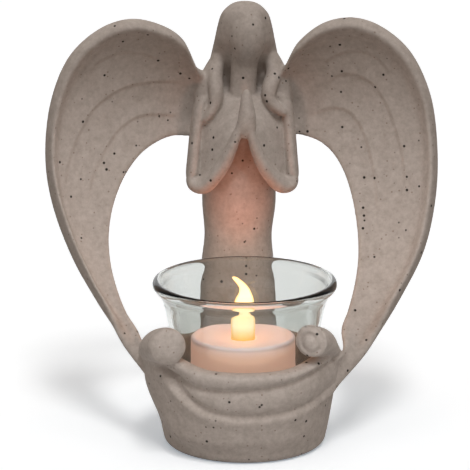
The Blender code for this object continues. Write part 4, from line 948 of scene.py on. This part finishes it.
finishes = {
    "led_bulb": epoxyMade, "led_lead_to_cell": tinMade, "led_lead_to_switch": tinMade,
    "base_plate": ivoryMade, "battery_door": ivoryMade, "door_screw": nickelMade,
    "button_cell": nickelMade, "cell_contact": nickelMade, "switch_slider": absMade,
}
for name, material in finishes.items():
    part = bpy.data.objects[name]
    for slot in part.material_slots:
        slot.material = material
    if not part.material_slots:
        part.data.materials.append(material)
print("stage: kept parts", len(finishes))


# Floor, light and camera

studio = {
    "floorSize": 12.0, "floorLift": 0.24, "paperEdge": (0.11, 0.30), "bounce": (0.56, 0.12),
    "whiteHalfWidth": (0.14, 0.34), "darkSides": 0.2, "ambient": 0.38, "ambientColour": "#FFF1E4",
    "ceiling": 0.3, "ceilingEdge": (0.25, 0.6), "sideEdge": (0.35, 0.8),
    # soft boxes overhead, as (strength, angle across, tilt to the front, turn to the right)
    "boxes": [(0.6, 11.0, 35.0, 7.0), (0.6, 11.0, 22.0, 10.0), (0.25, 40.0, 4.0, 4.0)],
    # near lamps, as (name, kind, place, target, energy, colour, width, angle across): white cards
    # low in front, one on the cup and one from each side on the far lower wing; then the LED's
    # own light, most of it up and back through the tip, the rest all round
    "lamps": [
        ("lowCard", "SPOT", (140.0, -380.0, 60.0), (12.0, -20.0, 14.0), 0.1, "#FFFFFF", 80.0, 28.0),
        ("wingCard", "SPOT", (260.0, -330.0, 90.0), (-64.0, 20.0, 70.0), 5.0, "#FFFFFF", 60.0, 12.5),
        ("wingCard", "SPOT", (-260.0, -330.0, 90.0), (64.0, 20.0, 70.0), 5.0, "#FFFFFF", 60.0, 12.5),
        ("ledBeam", "SPOT", (-0.6, 0.0, 52.0), (-0.6, 40.0, 90.0), 0.042, "#FF6A00", 7.0, 52.0),
        ("ledGlow", "POINT", (-0.6, 0.0, 56.0), (-0.6, 0.0, 0.0), 0.013, "#FFA860", 7.0, 360.0)],
}

scene = bpy.context.scene
floorMesh = bpy.data.meshes.new("floor")
reach = studio["floorSize"] / 2
floorMesh.from_pydata([(-reach, -reach, 0), (reach, -reach, 0), (reach, reach, 0), (-reach, reach, 0)],
                      [], [(0, 1, 2, 3)])
floor = bpy.data.objects.new("floor", floorMesh)
scene.collection.objects.link(floor)


def rayKinds(tree):
    # camera rays, rays from a shiny surface or through glass, and both together
    path = addNode(tree, "LightPath").outputs
    mirrored = addNode(tree, "Math", {
        0: path["Is Glossy Ray"], 1: path["Is Transmission Ray"]}, operation="MAXIMUM").outputs[0]
    either = addNode(tree, "Math", {
        0: path["Is Camera Ray"], 1: mirrored}, operation="MAXIMUM").outputs[0]
    return path["Is Camera Ray"], mirrored, either


def faded(tree, value, edge, start, end):
    # start below the edge's first number, end above its second, and a straight line between
    return addNode(tree, "MapRange", {
        "Value": value, "From Min": edge[0], "From Max": edge[1], "To Min": start,
        "To Max": end}).outputs[0]


# Matt white paper: the camera sees it white, glass and metal see it white with dark sides, and
# what it throws back on the object comes from the sheet's middle
paper = bpy.data.materials.new("matt white paper")
paper.use_nodes = True
tree = paper.node_tree
tree.nodes.clear()
place = addNode(tree, "TexCoord").outputs["Object"]
mirrored, seen = rayKinds(tree)[1:]
sideways = addNode(tree, "SeparateXYZ", {"Vector": place}).outputs["X"]
aside = addNode(tree, "Math", {0: sideways}, operation="ABSOLUTE").outputs[0]
darkened = faded(tree, aside, studio["whiteHalfWidth"], 1.0, studio["darkSides"])
shade = addNode(tree, "Mix", {0: mirrored, 2: 1.0, 3: darkened}).outputs[0]
plain = addNode(tree, "BsdfDiffuse", {"Color": shade})
# the lift makes up for what the warm ambient light lacks in green and blue
ambientColour = toLinear(studio["ambientColour"])
liftColour = [studio["floorLift"] + studio["ambient"] * (1.0 - c) for c in ambientColour[:3]]
lift = addNode(tree, "Emission", {"Color": (*liftColour, 1.0), "Strength": shade})
white = addNode(tree, "AddShader", {0: plain.outputs[0], 1: lift.outputs[0]})
away = addNode(tree, "VectorMath", {0: place}, operation="LENGTH").outputs["Value"]
dim = addNode(tree, "BsdfDiffuse", {"Color": faded(tree, away, studio["paperEdge"],
                                                             *studio["bounce"])})
both = addNode(tree, "MixShader", {0: seen, 1: dim.outputs[0], 2: white.outputs[0]})
addNode(tree, "OutputMaterial", {"Surface": both.outputs[0]})
floorMesh.materials.append(paper)

# The surroundings: white for the camera, a dim ceiling and dark sides in the glass, and a faintly
# warm ambient light on the rest
world = bpy.data.worlds.new("studio")
scene.world = world
world.use_nodes = True
tree = world.node_tree
tree.nodes.clear()
byCamera, mirrored, neutral = rayKinds(tree)
direction = addNode(tree, "TexCoord").outputs["Generated"]
parts = addNode(tree, "SeparateXYZ", {"Vector": direction}).outputs
aside = addNode(tree, "Math", {0: parts["X"]}, operation="ABSOLUTE").outputs[0]
room = addNode(tree, "Math", {
    0: faded(tree, parts["Z"], studio["ceilingEdge"], 1.0, studio["ceiling"]),
    1: faded(tree, aside, studio["sideEdge"], 1.0, studio["darkSides"])}, operation="MULTIPLY")
level = addNode(tree, "Mix", {0: mirrored, 2: studio["ambient"], 3: room.outputs[0]})
level = addNode(tree, "Mix", {0: byCamera, 2: level.outputs[0], 3: 1.0})
tint = addNode(tree, "Mix", {
    0: neutral, 6: ambientColour, 7: (1, 1, 1, 1)}, data_type="RGBA")
sky = addNode(tree, "Background", {"Color": tint.outputs[2], "Strength": level.outputs[0]})
addNode(tree, "OutputWorld", {"Surface": sky.outputs[0]})


def addLamp(name, kind, place, target, **settings):
    # a lamp aimed at its target, not seen itself by the camera, in reflections or through glass
    lamp = bpy.data.lights.new(name, kind)
    for key, value in settings.items():
        setattr(lamp, key, value)
    made = bpy.data.objects.new(name, lamp)
    scene.collection.objects.link(made)
    made.location = Vector(place) * mm
    made.visible_camera = made.visible_glossy = made.visible_transmission = False
    made.rotation_euler = (Vector(target) - Vector(place)).to_track_quat("-Z", "Y").to_euler()


for strength, across, tilt, turn in studio["boxes"]:
    tilt, turn = math.radians(tilt), math.radians(turn)
    place = (1000 * math.sin(tilt) * math.sin(turn), -1000 * math.sin(tilt) * math.cos(turn),
             1000 * math.cos(tilt))
    addLamp("overheadSoftbox", "SUN", place, (0, 0, 0), energy=strength, angle=math.radians(across))
for name, kind, place, target, energy, hexColour, width, across in studio["lamps"]:
    spot = {"spot_size": math.radians(across), "spot_blend": 1.0} if kind == "SPOT" else {}
    addLamp(name, kind, place, target, energy=energy, color=toLinear(hexColour)[:3],
            shadow_soft_size=width * mm, **spot)

# camera as fitted to the photograph: 1.1 m away, a little to the left and above
view = {"target": (-3.55, 0, 77.74), "distance": 1100, "azimuth": -1.5, "elevation": 14.43,
        "lens": 232.75}
az, el = math.radians(view["azimuth"]), math.radians(view["elevation"])
back = Vector((math.sin(az) * math.cos(el), -math.cos(az) * math.cos(el), math.sin(el)))
lensData = bpy.data.cameras.new("camera")
lensData.sensor_width, lensData.lens = 36.0, view["lens"]
lensData.clip_start, lensData.clip_end = 0.05, 50.0
camera = bpy.data.objects.new("camera", lensData)
scene.collection.objects.link(camera)
camera.location = (Vector(view["target"]) + back * view["distance"]) * mm
camera.rotation_euler = (-back).to_track_quat("-Z", "Y").to_euler()
scene.camera = camera
scene.view_settings.view_transform = "Standard"
print("stage: studio")

bpy.context.view_layer.update()
